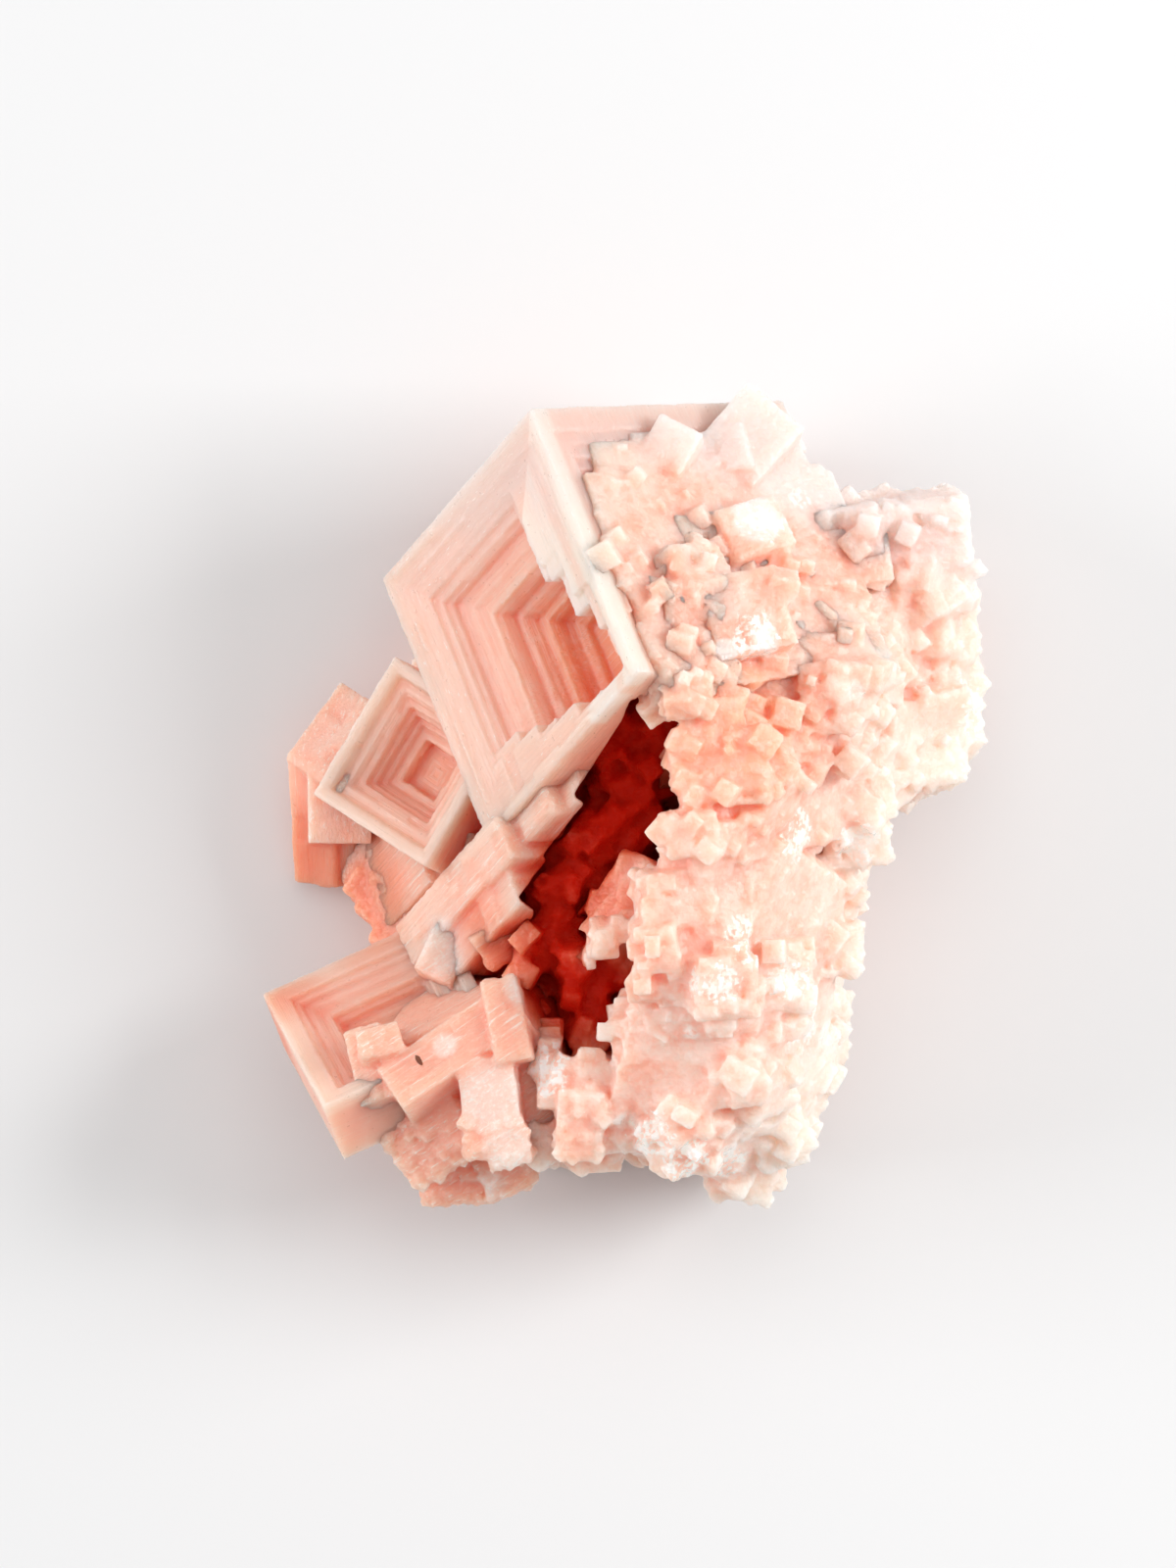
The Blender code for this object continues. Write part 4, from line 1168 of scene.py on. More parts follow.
def hopper_cube(name, edges, terraces, rng, steps, slabs=(), outer=()):
    """A terraced cube in its own axes, its hopper face up and its first corner at the origin."""
    real = [edge * MM for edge in edges]
    cube = new_block(name, real, corner=True)
    fine = finer(terraces, steps, rng)
    sink_terraces(cube, real, fine)
    if outer:
        cut_outer_steps(cube, real, outer)
    tools = new_collection("ledges")
    add_ledges(tools, rng, real, fine[::2])
    add_slabs(tools, slabs)
    join_all(cube, "UNION", tools)
    return cube


def add_lining(collection, seeds, rng):
    """Crystals that fill the bottom of the crevice."""
    for index, (bottom, run, (length, width)) in enumerate(CREVICE_CUTS):
        run_axis = Vector((run[0], run[1], 0.0)).normalized()
        side_axis = Vector((-run_axis.y, run_axis.x, 0.0))
        for place in range(LINING_COUNT):
            edge = rng.uniform(*LINING_EDGE)
            spot = Vector(bottom) + run_axis * length * rng.uniform(-0.5, 0.5)
            spot += side_axis * width * rng.uniform(-0.6, 0.6)
            spot.z = rng.uniform(*LINING_HEIGHT)
            up = Vector([rng.uniform(-0.5, 0.5), rng.uniform(-0.5, 0.5), 1.0])
            axes = facing_axes(up, (run[0] + rng.uniform(-0.3, 0.3), run[1]))
            long = edge * rng.uniform(1.2, 3.2)
            lengths = (long * MM, edge * MM, 5 * edge * MM)
            matrix = placing(spot - axes[2] * 2.5 * edge, axes, lengths)
            copy_shape(rng.choice(seeds), f"lining_{index}_{place}", matrix, collection)


def crust_height(x, y):
    """Height of the crusty side over a point, from the nearest known points."""
    total = 0.0
    weight = 0.0
    for px, py, pz in CRUST_POINTS:
        near = 1.0 / ((px - x) ** 2 + (py - y) ** 2 + 4.0) ** 1.5
        total += near * pz
        weight += near
    return total / weight


def inside_outline(x, y):
    """Whether a point is inside the crust's outline."""
    inside = False
    last = CRUST_OUTLINE[-1]
    for point in CRUST_OUTLINE:
        if (point[1] > y) != (last[1] > y):
            cross = (last[0] - point[0]) * (y - point[1]) / (last[1] - point[1]) + point[0]
            inside ^= x < cross
        last = point
    return inside


def crust_normal(x, y):
    """The way the crusty side faces over a point."""
    step = 2.5
    slope_x = (crust_height(x + step, y) - crust_height(x - step, y)) / (2 * step)
    slope_y = (crust_height(x, y + step) - crust_height(x, y - step)) / (2 * step)
    return Vector((-0.75 * slope_x, -0.75 * slope_y, 1.0)).normalized()


def add_face_crust(collection, seeds, rng):
    """Blocky growth over the large cube's outer face, parallel to the cube."""
    axes = axes_of(*BIG_AXES)
    out, side, along = -axes[0], axes[1], axes[2]
    for index in range(FACE_CRUST_COUNT):
        v = rng.uniform(*FACE_CRUST_ALONG)
        w = rng.uniform(*FACE_CRUST_ACROSS)
        edge = rng.uniform(*FACE_CRUST_EDGE) * rng.uniform(*FACE_CRUST_SHARE)
        if v + w < FACE_CRUST_CLEAR:
            continue
        lengths = (edge * rng.uniform(0.7, 1.6), edge, edge)
        spot = Vector(BIG_CORNER) + side * v - along * w
        spot += out * (rng.uniform(*FACE_CRUST_STAND) - lengths[2] / 2)
        face = spot + out * lengths[2] / 2
        if any((face - Vector(middle)).length < clear for middle, clear in BARE_BLOCKS):
            continue
        turn = Euler([rng.uniform(-FACE_CRUST_TILT, FACE_CRUST_TILT) for _ in range(3)]).to_matrix()
        turned = [turn @ axis for axis in (side, along, out)]
        real = [value * MM for value in lengths]
        copy_shape(rng.choice(seeds), f"face_{index}", placing(spot, turned, real), collection)


def add_crust(collection, seeds, rng):
    """Cubes a few millimetres across over the crusty side, nearly parallel to each other."""
    index = 0
    for row in range(*CRUST_ROWS):
        for column in range(*CRUST_COLUMNS):
            x = (column + 0.5 * (row % 2)) * CRUST_SPACING + rng.uniform(-CRUST_STRAY, CRUST_STRAY)
            y = row * CRUST_ROW_SHARE * CRUST_SPACING + rng.uniform(-CRUST_STRAY, CRUST_STRAY)
            edge = rng.uniform(*CRUST_EDGE)
            if not inside_outline(x, y):
                continue
            tilt = [rng.uniform(-CRUST_TILT, CRUST_TILT) for _ in range(3)]
            run = (math.cos(tilt[0]), math.sin(tilt[0]) + CRUST_RUN)
            axes = facing_axes(crust_normal(x, y) + Vector((tilt[1], tilt[2], 0.0)), run)
            top = Vector((x, y, crust_height(x, y) + rng.uniform(*CRUST_STAND)))
            lengths = (edge * rng.uniform(0.85, 1.3) * MM, edge * MM, edge * CRUST_LENGTH * MM)
            spot = top - axes[2] * lengths[2] / MM * 0.54
            copy_shape(rng.choice(seeds), f"crust_{index}", placing(spot, axes, lengths), collection)
            index += 1


def add_flank(collection, seeds, rng):
    """Cubes round the foot of the cluster, so that its sides are crystals too."""
    index = 0
    for start, end in zip(FLANK_LINE, FLANK_LINE[1:]):
        a = Vector((start[0], start[1], 0.0))
        b = Vector((end[0], end[1], 0.0))
        out = (b - a).cross(Vector((0, 0, 1))).normalized() * -1.0
        count = max(1, round((b - a).length / FLANK_STEP))
        for place in range(count):
            for level in FLANK_LEVELS:
                edge = rng.uniform(*FLANK_EDGE)
                middle = a.lerp(b, (place + rng.uniform(0.2, 0.8)) / count)
                middle.z = level + rng.uniform(-FLANK_UNEVEN, FLANK_UNEVEN)
                turn = rng.uniform(-0.5, 0.5)
                faces = out + Vector((0.0, 0.0, rng.uniform(0.35, 1.1)))
                axes = facing_axes(faces, (math.cos(turn), math.sin(turn)))
                lengths = (edge * rng.uniform(0.8, 1.2) * MM, edge * MM, edge * MM)
                copy_shape(rng.choice(seeds), f"flank_{index}", placing(middle, axes, lengths), collection)
                index += 1


def cut_crevice(obj, rng):
    tools = new_collection("crevice")
    crevice_cutters(tools, rng)
    join_all(obj, "DIFFERENCE", tools)


def spots(board, place, table, core):
    """1 near each point of a table, falling to 0 at its radius."""
    total = None
    for point, radius in table:
        patch = board.near(place, point, radius * core, radius)
        total = patch if total is None else board.math("MAXIMUM", total, patch)
    return total


def crevice_shade_mask(board, place):
    """Painted shade of the crevice: 1 deep in it, less at its lips and on its inner walls, 0 outside it.
    """
    total = None
    for point, full, none, weight in CREVICE_SHADE_BALLS:
        ball = board.near(place, point, full, none) * weight
        total = ball if total is None else board.math("MAXIMUM", total, ball)
    return total


def concentric(board, place, corner, axes, edges):
    """Distance in from the nearest side of a hopper face, and depth below it."""
    along_u = board.along(place, axes[0], corner)
    along_v = board.along(place, axes[1], corner)
    depth = 0 - board.along(place, axes[2], corner)
    near_u = board.math("MINIMUM", along_u, edges[0] - along_u)
    near_v = board.math("MINIMUM", along_v, edges[1] - along_v)
    return board.math("MINIMUM", near_u, near_v), depth, along_u, along_v


def hopper_salt(name, corner, axes, edges, depths, colours, ridge=0.0):
    """Clear terraced salt: pale at the rim, and darker down the terraces by painted shade.

    The rim along the second edge is a paler ridge, so many millimetres wide.
    """
    board = Board(name)
    place = board.place()
    inward, depth, along_u, along_v = concentric(board, place, corner, axes, edges)
    mottle = board.noise(place, 0.16, 3.0)
    cloud = board.noise(place, 0.5, 4.0, 0.6)
    fine = board.noise(place, 1.3, 4.0)
    both, apart = along_u + along_v, along_u - along_v
    lines = board.noise(board.vector(inward * 3.2, depth * 2.4, both * 0.06), 1.0, 3.0)
    threads = board.noise(board.vector(inward * 11, depth * 7, apart * 0.22), 1.0, 2.0)
    dashes = board.noise(board.vector(inward * 6, depth * 5, both * 0.9), 1.0, 1.0)
    # Painted shade: the colour deepens with depth down the terraces, from rim to flesh to the terrace
    # shade.
    steps = depth + (mottle - 0.5) * 1.6 + (lines - 0.5) * 1.4
    body = board.mix(board.between(steps, depths[0], depths[1]), colours.rim, colours.flesh)
    inside = board.between(inward, 1.5, 5.0)
    body = board.mix(board.between(steps, depths[1], depths[2]) * inside, body, colours.terrace_shade)
    pale = board.between(lines + threads * 0.35, 0.66, 0.86)
    body = board.mix(pale * 0.4, body, colours.frost)
    body = board.mix(board.between(cloud, 0.5, 0.68) * 0.3, body, colours.frost)
    if ridge:
        flat = 1 - board.between(depth, 1.6, 2.4)
        beside = board.between(along_v - along_u, -0.25, 0.25)
        beside = beside * (1 - board.between(along_u, ridge, ridge + 1))
        across = along_u - 3.6 + (mottle - 0.5) * 1.2
        streak = board.between(board.math("ABSOLUTE", across), 0.3, 1.3)
        body = board.mix(beside * flat * (0.15 + streak * 0.6), body, colours.cream)
        outer = board.between(along_u * -1, 0.1, 0.5)
        body = board.mix(outer * 0.9, body, colours.rose)
        upper = board.between(board.along(place, (-0.3, 1, 0)) + (mottle - 0.5) * 6, 26.0, 40.0)
        upper = upper * (1 - outer) * (1 - board.between(inward, 5.0, 9.0))
        body = board.mix(upper * 0.6, body, colours.mist)
        marks = board.between(dashes, 0.70, 0.76) * flat
        body = board.mix(marks * 0.8, body, colours.white)
    # Painted shade: darker and redder towards the table, and in the shaded spots low on the left.
    low = 1 - board.between(board.along(place, (0, 0, 1)) + (mottle - 0.5) * 8, 2.0, 17.0)
    body = board.mix(low * 0.75, body, colours.low)
    body = board.mix(spots(board, place, SHADE_AND_GLOW_SPOTS, 0.4) * 0.8, body, colours.low)
    rough = 0.20 + fine * 0.22 + pale * 0.12
    height = lines * 0.18 + threads * 0.12 + fine * 0.08 + mottle * 0.3
    values = salt_body(HOPPER_SPREAD, body, rough, HOPPER_CLEAR)
    return board.finish(values, height, 0.8, colours, crevice_shade_mask(board, place) * 0.6)


def block_salt(name, axes, tint, colours, frosting, shade_top):
    """Blocks with fine growth lines along their own edges, darker below a height by painted shade."""
    board = Board(name)
    place = board.place()
    across = [board.along(place, axis) for axis in axes]
    mottle = board.noise(place, 0.2, 3.0)
    fine = board.noise(place, 1.5, 4.0)
    lines = board.noise(board.vector(across[0] * 0.12, across[1] * 2.6, across[2] * 2.6), 1.0, 3.0)
    threads = board.noise(board.vector(across[0] * 0.5, across[1] * 9, across[2] * 9), 1.0, 2.0)
    body = board.mix(board.between(mottle, 0.38, 0.64), tint, colours.flesh)
    body = board.mix(board.between(lines, 0.52, 0.72) * 0.5, body, colours.frost)
    streaks = board.between(lines * 0.6 + threads * 0.4, 0.56, 0.64)
    body = board.mix(streaks * 0.6, body, colours.white)
    dust = board.between(board.noise(place, 2.2, 5.0, 0.6), 0.45, 0.75)
    body = board.mix(dust * frosting, body, colours.frost)
    bright = spots(board, place, WHITE_SPOTS, 0.5)
    body = board.mix(bright * (0.45 + dust * 0.35), body, colours.white)
    # Painted shade: darker and redder below a height, and in the shaded spots low on the left.
    low = 1 - board.between(board.along(place, (0, 0, 1)) + (mottle - 0.5) * 6, 3.0, shade_top)
    body = board.mix(low * 0.9, body, colours.low)
    body = board.mix(spots(board, place, SHADE_AND_GLOW_SPOTS, 0.4) * 0.9, body, colours.low)
    rough = 0.20 + fine * 0.24
    height = lines * 0.34 + threads * 0.16 + fine * 0.12
    values = salt_body(BLOCK_SPREAD, body, rough)
    return board.finish(values, height, 0.9, colours, crevice_shade_mask(board, place))


def druse_salt(name, colours):
    """Sugary crust: rosy above, whiter and warmer to the lower right; painted highlights and crevice
    shade.
    """
    board = Board(name)
    place = board.place()
    east = board.along(place, (1, 0, 0))
    north = board.along(place, (0, 1, 0))
    mottle = board.noise(place, 0.13, 4.0)
    blotch = board.noise(place, 0.42, 4.0, 0.6)
    fine = board.noise(place, 1.1, 4.0)
    grain = board.cells(place, 1.25, "Color")
    speckle = board.cells(place, 2.0, "Color")
    patches = board.between(mottle * 0.6 + blotch * 0.4, 0.40, 0.60)
    body = board.mix(patches, colours.flesh, colours.frost)
    warm = board.near(place, ORANGE_SPOT, 3.0, 15.0) * board.between(blotch, 0.30, 0.55)
    body = board.mix(warm * 0.8, body, colours.orange)
    edge = board.between(east - north * 0.35 + (mottle - 0.5) * 16, 14.0, 40.0)
    body = board.mix(edge * 0.85, body, colours.cream)
    foot = board.between(-12.0 - north + (mottle - 0.5) * 12, 0.0, 16.0)
    foot = foot * board.between(blotch, 0.3, 0.6)
    body = board.mix(foot * 0.2, body, colours.white)
    rosy = board.between(north + east * 0.45 + (mottle - 0.5) * 6, 36.0, 43.0)
    body = board.mix(rosy * 0.8, body, colours.rose)
    body = board.mix(board.between(grain, 0.45, 0.95) * 0.25, body, colours.cream)
    # Painted shade: darker and redder in the shaded spots low on the left.
    body = board.mix(spots(board, place, SHADE_AND_GLOW_SPOTS, 0.4) * 0.9, body, colours.low)
    # Painted highlights: white sparkle round the glints and on smooth facets, a little glossier there.
    bright = spots(board, place, GLINTS, 0.4)
    sparkle = board.between(speckle * 0.4 + bright * 0.5 + blotch * 0.7, 0.98, 1.1)
    body = board.mix(sparkle * 0.9, body, colours.white)
    facet_highlight = spots(board, place, FACET_HIGHLIGHTS, 0.7) * board.between(blotch + bright * 0.2, 0.36, 0.5)
    body = board.mix(facet_highlight * 0.6, body, colours.white)
    rough = 0.30 + fine * 0.25 - sparkle * 0.22 - facet_highlight * 0.15
    cubes = board.cells(place, 1.3, "Distance")
    sand = board.noise(place, 3.0, 3.0)
    relief = fine * 0.14 + sand * 0.07 - cubes * 0.26 + grain * 0.16 + speckle * 0.05
    values = salt_body(CRUST_SPREAD, body, rough)
    return board.finish(values, relief, 0.8, colours, crevice_shade_mask(board, place))


def add_lights():
    """The soft lights of the table, and a white surround."""
    for name, place, size, power in LIGHTS:
        light = bpy.data.lights.new(name, "AREA")
        light.shape = "SQUARE"
        light.size = size
        light.energy = power
        lamp = bpy.data.objects.new(name, light)
        lamp.location = place
        lamp.rotation_euler = (-Vector(place)).to_track_quat("-Z", "Y").to_euler()
        bpy.context.scene.collection.objects.link(lamp)
    world = bpy.data.worlds.new("surround")
    bpy.context.scene.world = world
    world.use_nodes = True
    background = world.node_tree.nodes["Background"]
    background.inputs["Color"].default_value = (1.0, 1.0, 1.0, 1.0)
    background.inputs["Strength"].default_value = SURROUND


def add_camera():
    """Straight down from far off, so that the view is nearly flat."""
    lens = bpy.data.cameras.new("camera")
    lens.sensor_width = SENSOR
    lens.lens = SENSOR * CAMERA_DISTANCE / FRAME_HEIGHT
    lens.clip_end = 20.0
    camera = bpy.data.objects.new("camera", lens)
    camera.location = (CAMERA_AIM[0] * MM, CAMERA_AIM[1] * MM, CAMERA_AIM[2] * MM + CAMERA_DISTANCE)
    bpy.context.scene.collection.objects.link(camera)
    bpy.context.scene.camera = camera
    bpy.context.scene.view_settings.view_transform = "Standard"


class HALITE_OT_large_hopper(bpy.types.Operator):
    """Model the large hopper cube."""

    bl_idname = "halite.large_hopper"
    bl_label = "Large hopper cube"

    def execute(self, context):
        sizes, colours = context.scene.halite_sizes, context.scene.halite_colours
        rng = random.Random(SEED)
        axes = axes_of(*BIG_AXES)
        edge = sizes.big_edge / MM
        cube = hopper_cube(
            "large_hopper_cube", (edge, edge, edge), BIG_TERRACES, rng, sizes.fine_terraces,
            RIM_SLABS, OUTER_STEPS,
        )
        cube.data.transform(placing(BIG_CORNER, axes))
        cut_crevice(cube, rng)
        edges = (edge, edge)
        salt = hopper_salt("clear_hopper_salt", BIG_CORNER, axes, edges, BIG_DEPTHS, colours, RIDGE_WIDTH)
        finish_crystal(cube, salt)
        return {"FINISHED"}


class HALITE_OT_second_hopper(bpy.types.Operator):
    """Model the second hopper cube."""

    bl_idname = "halite.second_hopper"
    bl_label = "Second hopper cube"

    def execute(self, context):
        sizes, colours = context.scene.halite_sizes, context.scene.halite_colours
        rng = random.Random(SEED + 1)
        axes = axes_of(*SECOND_AXES)
        edge = sizes.second_edge / MM
        edges = (edge, edge, edge)
        cube = hopper_cube("second_hopper_cube", edges, SECOND_TERRACES, rng, sizes.fine_terraces)
        cube.data.transform(placing(SECOND_CORNER, axes))
        salt = hopper_salt("second_hopper_salt", SECOND_CORNER, axes, edges[:2], SECOND_DEPTHS, colours)
        finish_crystal(cube, salt)
        return {"FINISHED"}


class HALITE_OT_low_hopper(bpy.types.Operator):
    """Model the lower left hopper crystal."""

    bl_idname = "halite.low_hopper"
    bl_label = "Lower left hopper crystal"

    def execute(self, context):
        sizes, colours = context.scene.halite_sizes, context.scene.halite_colours
        rng = random.Random(SEED + 2)
        axes = axes_of(*LOW_AXES)
        edge = sizes.low_edge / MM
        edges = (edge, edge, LOW_THICKNESS)
        cube = hopper_cube("low_hopper_crystal", edges, LOW_TERRACES, rng, sizes.fine_terraces)
        cube.data.transform(placing(LOW_CORNER, axes))
        salt = hopper_salt("low_hopper_salt", LOW_CORNER, axes, edges[:2], LOW_DEPTHS, colours)
        finish_crystal(cube, salt)
        return {"FINISHED"}


class HALITE_OT_parallel_bars(bpy.types.Operator):
    """Model the slabs and bars that grew parallel to the large cube."""

    bl_idname = "halite.parallel_bars"
    bl_label = "Parallel slabs and bars"

    def execute(self, context):
        colours = context.scene.halite_colours
        rng = random.Random(SEED + 3)
        axes = axes_of(*BIG_AXES)
        blocks = new_collection("bars")
        for name, corner, lengths in PARALLEL_BLOCKS:
            real = [abs(length) * MM for length in lengths]
            middle = Vector(corner)
            middle += (axes[0] * lengths[0] + axes[1] * lengths[1] - axes[2] * lengths[2]) / 2
            block = new_block(name, real)
            growth_plates(block, real, BAR_PLATES, rng, BAR_PLATE_THICK, BAR_PLATE_FACES)
            block.data.transform(placing(middle, axes))
            move_to(block, blocks)
        bars = hull("parallel_bars", BAR_HEART, bpy.context.scene.collection)
        join_all(bars, "UNION", blocks)
        cut_crevice(bars, rng)
        finish_crystal(bars, block_salt("bar_salt", axes, colours.rim, colours, BAR_FROSTING, BAR_SHADE_TOP))
        return {"FINISHED"}


class HALITE_OT_left_crystals(bpy.types.Operator):
    """Model the crystals on the far left."""

    bl_idname = "halite.left_crystals"
    bl_label = "Left crystals"

    def execute(self, context):
        colours = context.scene.halite_colours
        rng = random.Random(SEED + 4)
        blocks = new_collection("left")
        add_single_blocks(LEFT_BLOCKS, blocks, rng)
        left = new_block("left_crystals", [value * MM for value in LEFT_HEART[1]])
        left.data.transform(Matrix.Translation(Vector(LEFT_HEART[0]) * MM))
        join_all(left, "UNION", blocks)
        axes = facing_axes(*LEFT_BLOCKS[LEFT_MAIN][2:4])
        salt = block_salt("left_salt", axes, colours.rim, colours, LEFT_FROSTING, LEFT_SHADE_TOP)
        finish_crystal(left, salt)
        return {"FINISHED"}


class HALITE_OT_low_blocks(bpy.types.Operator):
    """Model the tabular blocks of the lower left."""

    bl_idname = "halite.low_blocks"
    bl_label = "Lower left blocks"

    def execute(self, context):
        colours = context.scene.halite_colours
        rng = random.Random(SEED + 5)
        blocks = new_collection("low")
        add_single_blocks(LOW_BLOCKS, blocks, rng)
        low = hull("low_blocks", LOW_LEFT_BODY, bpy.context.scene.collection)
        join_all(low, "UNION", blocks)
        seeds = small_seeds()
        grains = new_collection("grains")
        places = skin_points(low, LOW_GRAINS[0], LOW_APART, rng)
        places = [item for item in places if item[0].y < LOW_GRAIN_LINE and item[0].z > GRAIN_FLOOR]
        patches = domains(rng, *LOW_PATCHES)
        scatter(seeds, places, LOW_GRAINS, rng, grains, patches)
        gather(low, grains)
        drop_seeds(seeds)
        axes = facing_axes(*LOW_BLOCKS[LOW_MAIN][2:4])
        salt = block_salt("low_block_salt", axes, colours.flesh, colours, LOW_FROSTING, LOW_SHADE_TOP)
        finish_crystal(low, salt)
        return {"FINISHED"}


class HALITE_OT_top_crystals(bpy.types.Operator):
    """Model the crystals along the top of the cluster."""

    bl_idname = "halite.top_crystals"
    bl_label = "Top crystals"

    def execute(self, context):
        colours = context.scene.halite_colours
        rng = random.Random(SEED + 6)
        blocks = new_collection("top")
        add_single_blocks(TOP_BLOCKS, blocks, rng)
        seeds = small_seeds() + grown_seeds(GROWN_SEEDS, rng)
        add_face_crust(blocks, seeds[PLAIN_SEEDS:], rng)
        top = hull("top_crystals", FAR_BODY, bpy.context.scene.collection)
        join_all(top, "UNION", blocks)
        grains = new_collection("grains")
        patches = domains(rng, *TOP_PATCHES)
        coarse = skin_points(top, TOP_COARSE[0], TOP_COARSE_APART, rng)
        coarse = [item for item in coarse if item[0].z > COARSE_FLOOR and not in_clear_crystal(item[0])]
        scatter(seeds[PLAIN_SEEDS:], coarse, TOP_COARSE, rng, grains, patches)
        fine = skin_points(top, TOP_FINE[0], TOP_FINE_APART, rng)
        fine = [item for item in fine if rng.random() < TOP_FINE_SHARE and not in_clear_crystal(item[0])]
        scatter(seeds[:1], fine, TOP_FINE, rng, grains, patches)
        gather(top, grains)
        drop_seeds(seeds)
        finish_crystal(top, druse_salt("top_salt", colours))
        return {"FINISHED"}


class HALITE_OT_crust(bpy.types.Operator):
    """Model the crust of small cubes on the right, with the crevice's far wall."""

    bl_idname = "halite.crust"
    bl_label = "Crust of small cubes"

    def execute(self, context):
        sizes, colours = context.scene.halite_sizes, context.scene.halite_colours
        rng = random.Random(SEED + 7)
        seeds = small_seeds() + grown_seeds(CRUST_GROWN_SEEDS, rng)
        blocky = [seeds[0], seeds[2], *seeds[PLAIN_SEEDS:]]
        patches = domains(rng, *CRUST_PATCHES)
        blocks = new_collection("crust")
        hull("right_body", RIGHT_BODY, blocks)
        add_single_blocks(CRUST_BLOCKS, blocks, rng)
        add_crust(blocks, seeds[PLAIN_SEEDS:], rng)
        add_flank(blocks, seeds[PLAIN_SEEDS:], rng)
        crust = hull("crust", LOWER_BODY, bpy.context.scene.collection)
        join_all(crust, "UNION", blocks)
        cut_crevice(crust, rng)
        cut_base(crust)
        keep_largest(crust)
        grains = new_collection("grains")
        coarse = skin_points(crust, CRUST_COARSE[0], CRUST_COARSE_APART, rng)
        scatter(blocky, coarse, CRUST_COARSE, rng, grains, patches)
        fine = skin_points(crust, CRUST_FINE[0], sizes.crust_small / MM, rng)
        fine = [item for item in fine if rng.random() < sugariness(item[0])]
        scatter(blocky[:2], fine, CRUST_FINE, rng, grains, patches)
        gather(crust, grains)
        finish_crystal(crust, druse_salt("crust_salt", colours))
        drop_seeds(seeds)
        return {"FINISHED"}


class HALITE_OT_bed(bpy.types.Operator):
    """Model the salt under the crystals and the lining of the crevice."""

    bl_idname = "halite.bed"
    bl_label = "Bed and crevice lining"

    def execute(self, context):
        colours = context.scene.halite_colours
        rng = random.Random(SEED + 9)
        seeds = small_seeds() + grown_seeds(GROWN_SEEDS, rng)
        bed = hull("bed", BED, bpy.context.scene.collection)
        lining = new_collection("lining")
        add_lining(lining, seeds[PLAIN_SEEDS:], rng)
        join_all(bed, "UNION", lining)
        grains = new_collection("grains")
        patches = domains(rng, *BED_PATCHES)
        coarse = skin_points(bed, BED_COARSE[0], BED_COARSE_APART, rng)
        scatter(seeds, coarse, BED_COARSE, rng, grains, patches)
        fine = skin_points(bed, BED_FINE[0], BED_FINE_APART, rng)
        fine = [item for item in fine if rng.random() < BED_FINE_SHARE]
        scatter(seeds[:PLAIN_SEEDS], fine, BED_FINE, rng, grains, patches)
        gather(bed, grains)
        drop_seeds(seeds)
        finish_crystal(bed, druse_salt("bed_salt", colours))
        return {"FINISHED"}


class HALITE_OT_speck(bpy.types.Operator):
    """Model the dark grain of dirt on the tabular block."""

    bl_idname = "halite.speck"
    bl_label = "Dark grain"

    def execute(self, context):
        deselect()
        bpy.ops.mesh.primitive_ico_sphere_add(subdivisions=2, radius=1.0)
        speck = bpy.context.object
        speck.name = "dark_speck"
        rng = random.Random(SEED + 8)
        for vertex in speck.data.vertices:
            vertex.co *= rng.uniform(0.75, 1.15)
        axes = facing_axes(*LOW_BLOCKS[LOW_MAIN][2:4])
        lengths = [value * MM for value in SPECK_SIZE]
        speck.data.transform(placing(SPECK_SPOT, axes, lengths))
        board = Board("dirt")
        place = board.place()
        grit = board.noise(place, 4.0, 3.0)
        body = board.mix(grit, context.scene.halite_colours.speck, SPECK_WORN)
        relief = board.node("ShaderNodeBump", {}, {"Strength": 0.6, "Distance": MM, "Height": grit})
        values = {"Base Color": body, "Roughness": 0.6 + grit * 0.2, "Normal": relief.outputs[0]}
        shader = board.node("ShaderNodeBsdfPrincipled", {}, values)
        board.node("ShaderNodeOutputMaterial", {}, {"Surface": shader.outputs[0]})
        dress(speck, board.material)
        return {"FINISHED"}


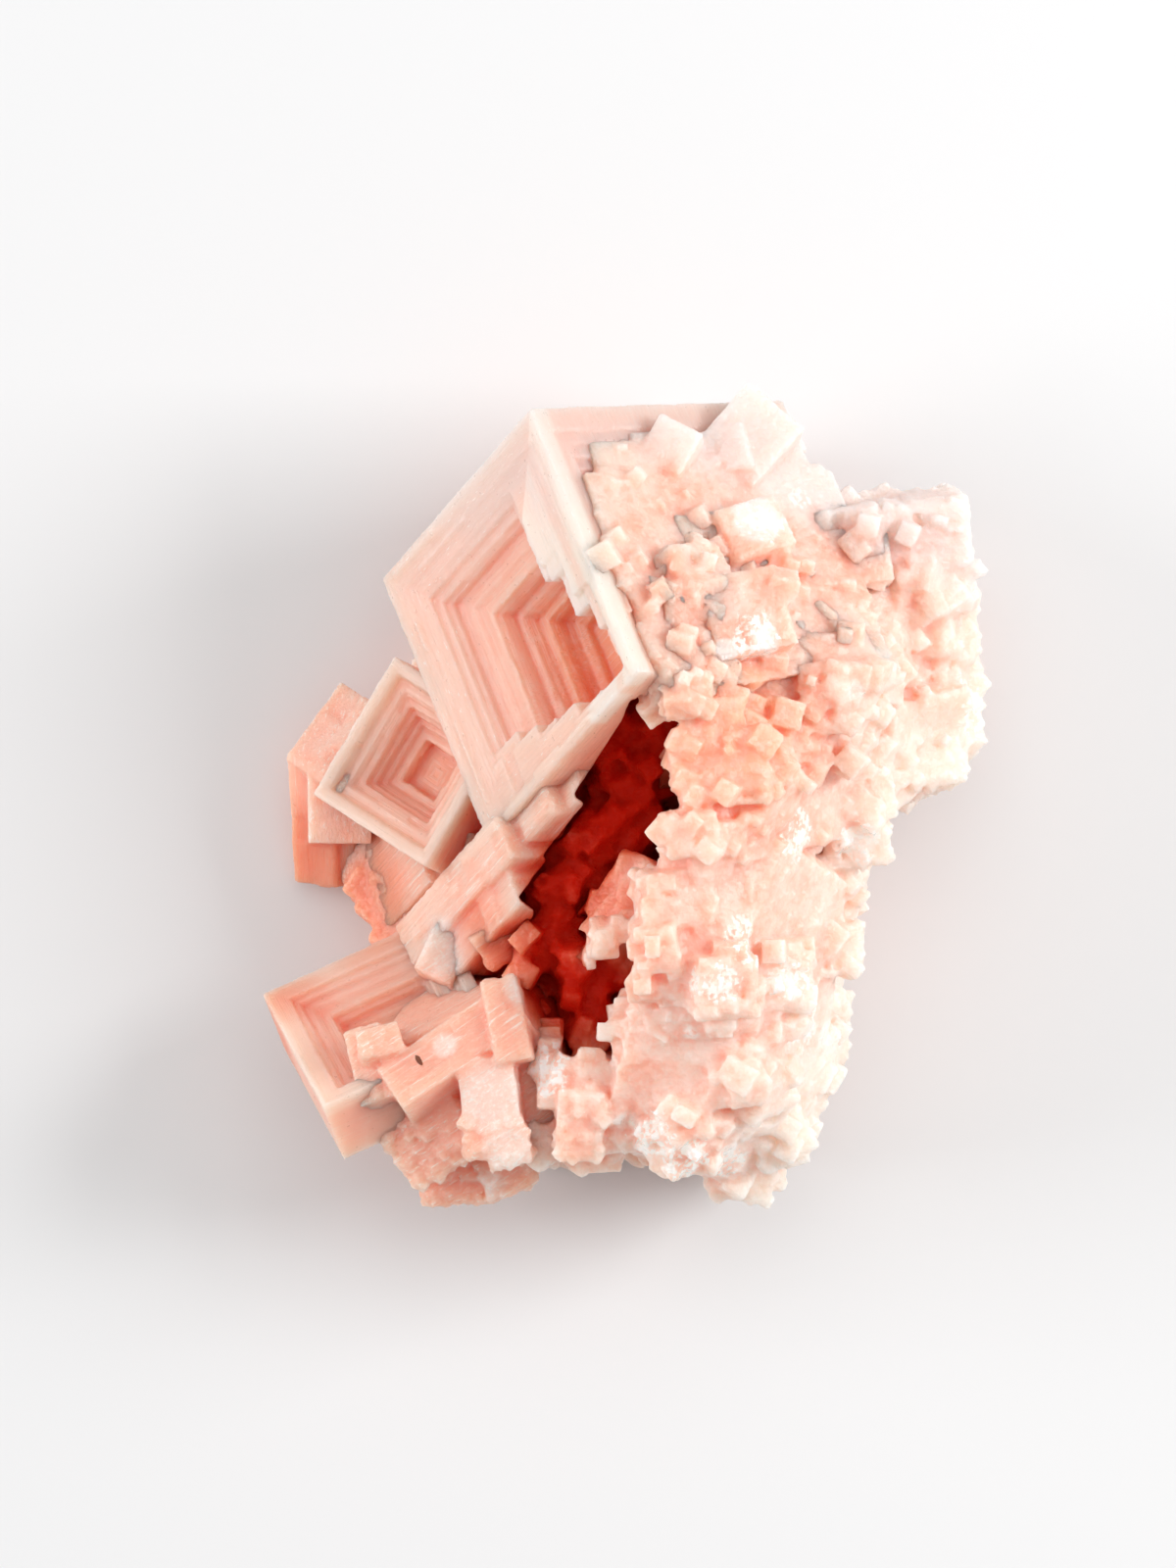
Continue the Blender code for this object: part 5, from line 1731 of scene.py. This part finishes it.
class HALITE_OT_stage(bpy.types.Operator):
    """Lay the floor and set the lights and the camera."""

    bl_idname = "halite.stage"
    bl_label = "Floor, lights and camera"

    def execute(self, context):
        deselect()
        bpy.ops.mesh.primitive_plane_add(size=FLOOR_SIZE, location=(0.0, 0.0, 0.0))
        floor = bpy.context.object
        floor.name = "floor"
        board = Board("pale_floor")
        place = board.place()
        tone = board.noise(place, 0.002, 2.0)
        paint = board.mix(tone, FLOOR_PAINT, FLOOR_WORN)
        values = {"Base Color": paint, "Roughness": 0.9, "Specular IOR Level": 0.1}
        shader = board.node("ShaderNodeBsdfPrincipled", {}, values)
        board.node("ShaderNodeOutputMaterial", {}, {"Surface": shader.outputs[0]})
        floor.data.materials.append(board.material)
        add_lights()
        add_camera()
        return {"FINISHED"}


class HALITE_PT_cluster(bpy.types.Panel):
    """The steps of the model, in order."""

    bl_idname = "HALITE_PT_cluster"
    bl_label = "Pink halite cluster"
    bl_space_type = "VIEW_3D"
    bl_region_type = "UI"
    bl_category = "Halite"

    def draw(self, context):
        for group in (context.scene.halite_sizes, context.scene.halite_colours):
            for key in group.__annotations__:
                self.layout.prop(group, key)
        for step in STEPS:
            self.layout.operator(step.bl_idname)


STEPS = (
    HALITE_OT_large_hopper,
    HALITE_OT_second_hopper,
    HALITE_OT_low_hopper,
    HALITE_OT_parallel_bars,
    HALITE_OT_left_crystals,
    HALITE_OT_low_blocks,
    HALITE_OT_top_crystals,
    HALITE_OT_crust,
    HALITE_OT_bed,
    HALITE_OT_speck,
    HALITE_OT_stage,
)
CLASSES = (HaliteSizes, HaliteColours, *STEPS, HALITE_PT_cluster)


def register():
    for item in CLASSES:
        bpy.utils.register_class(item)
    bpy.types.Scene.halite_sizes = bpy.props.PointerProperty(type=HaliteSizes)
    bpy.types.Scene.halite_colours = bpy.props.PointerProperty(type=HaliteColours)


def unregister():
    del bpy.types.Scene.halite_colours
    del bpy.types.Scene.halite_sizes
    for item in reversed(CLASSES):
        bpy.utils.unregister_class(item)


def main():
    register()
    for step in STEPS:
        getattr(bpy.ops.halite, step.bl_idname.split(".")[1])()


if __name__ == "__main__":
    main()
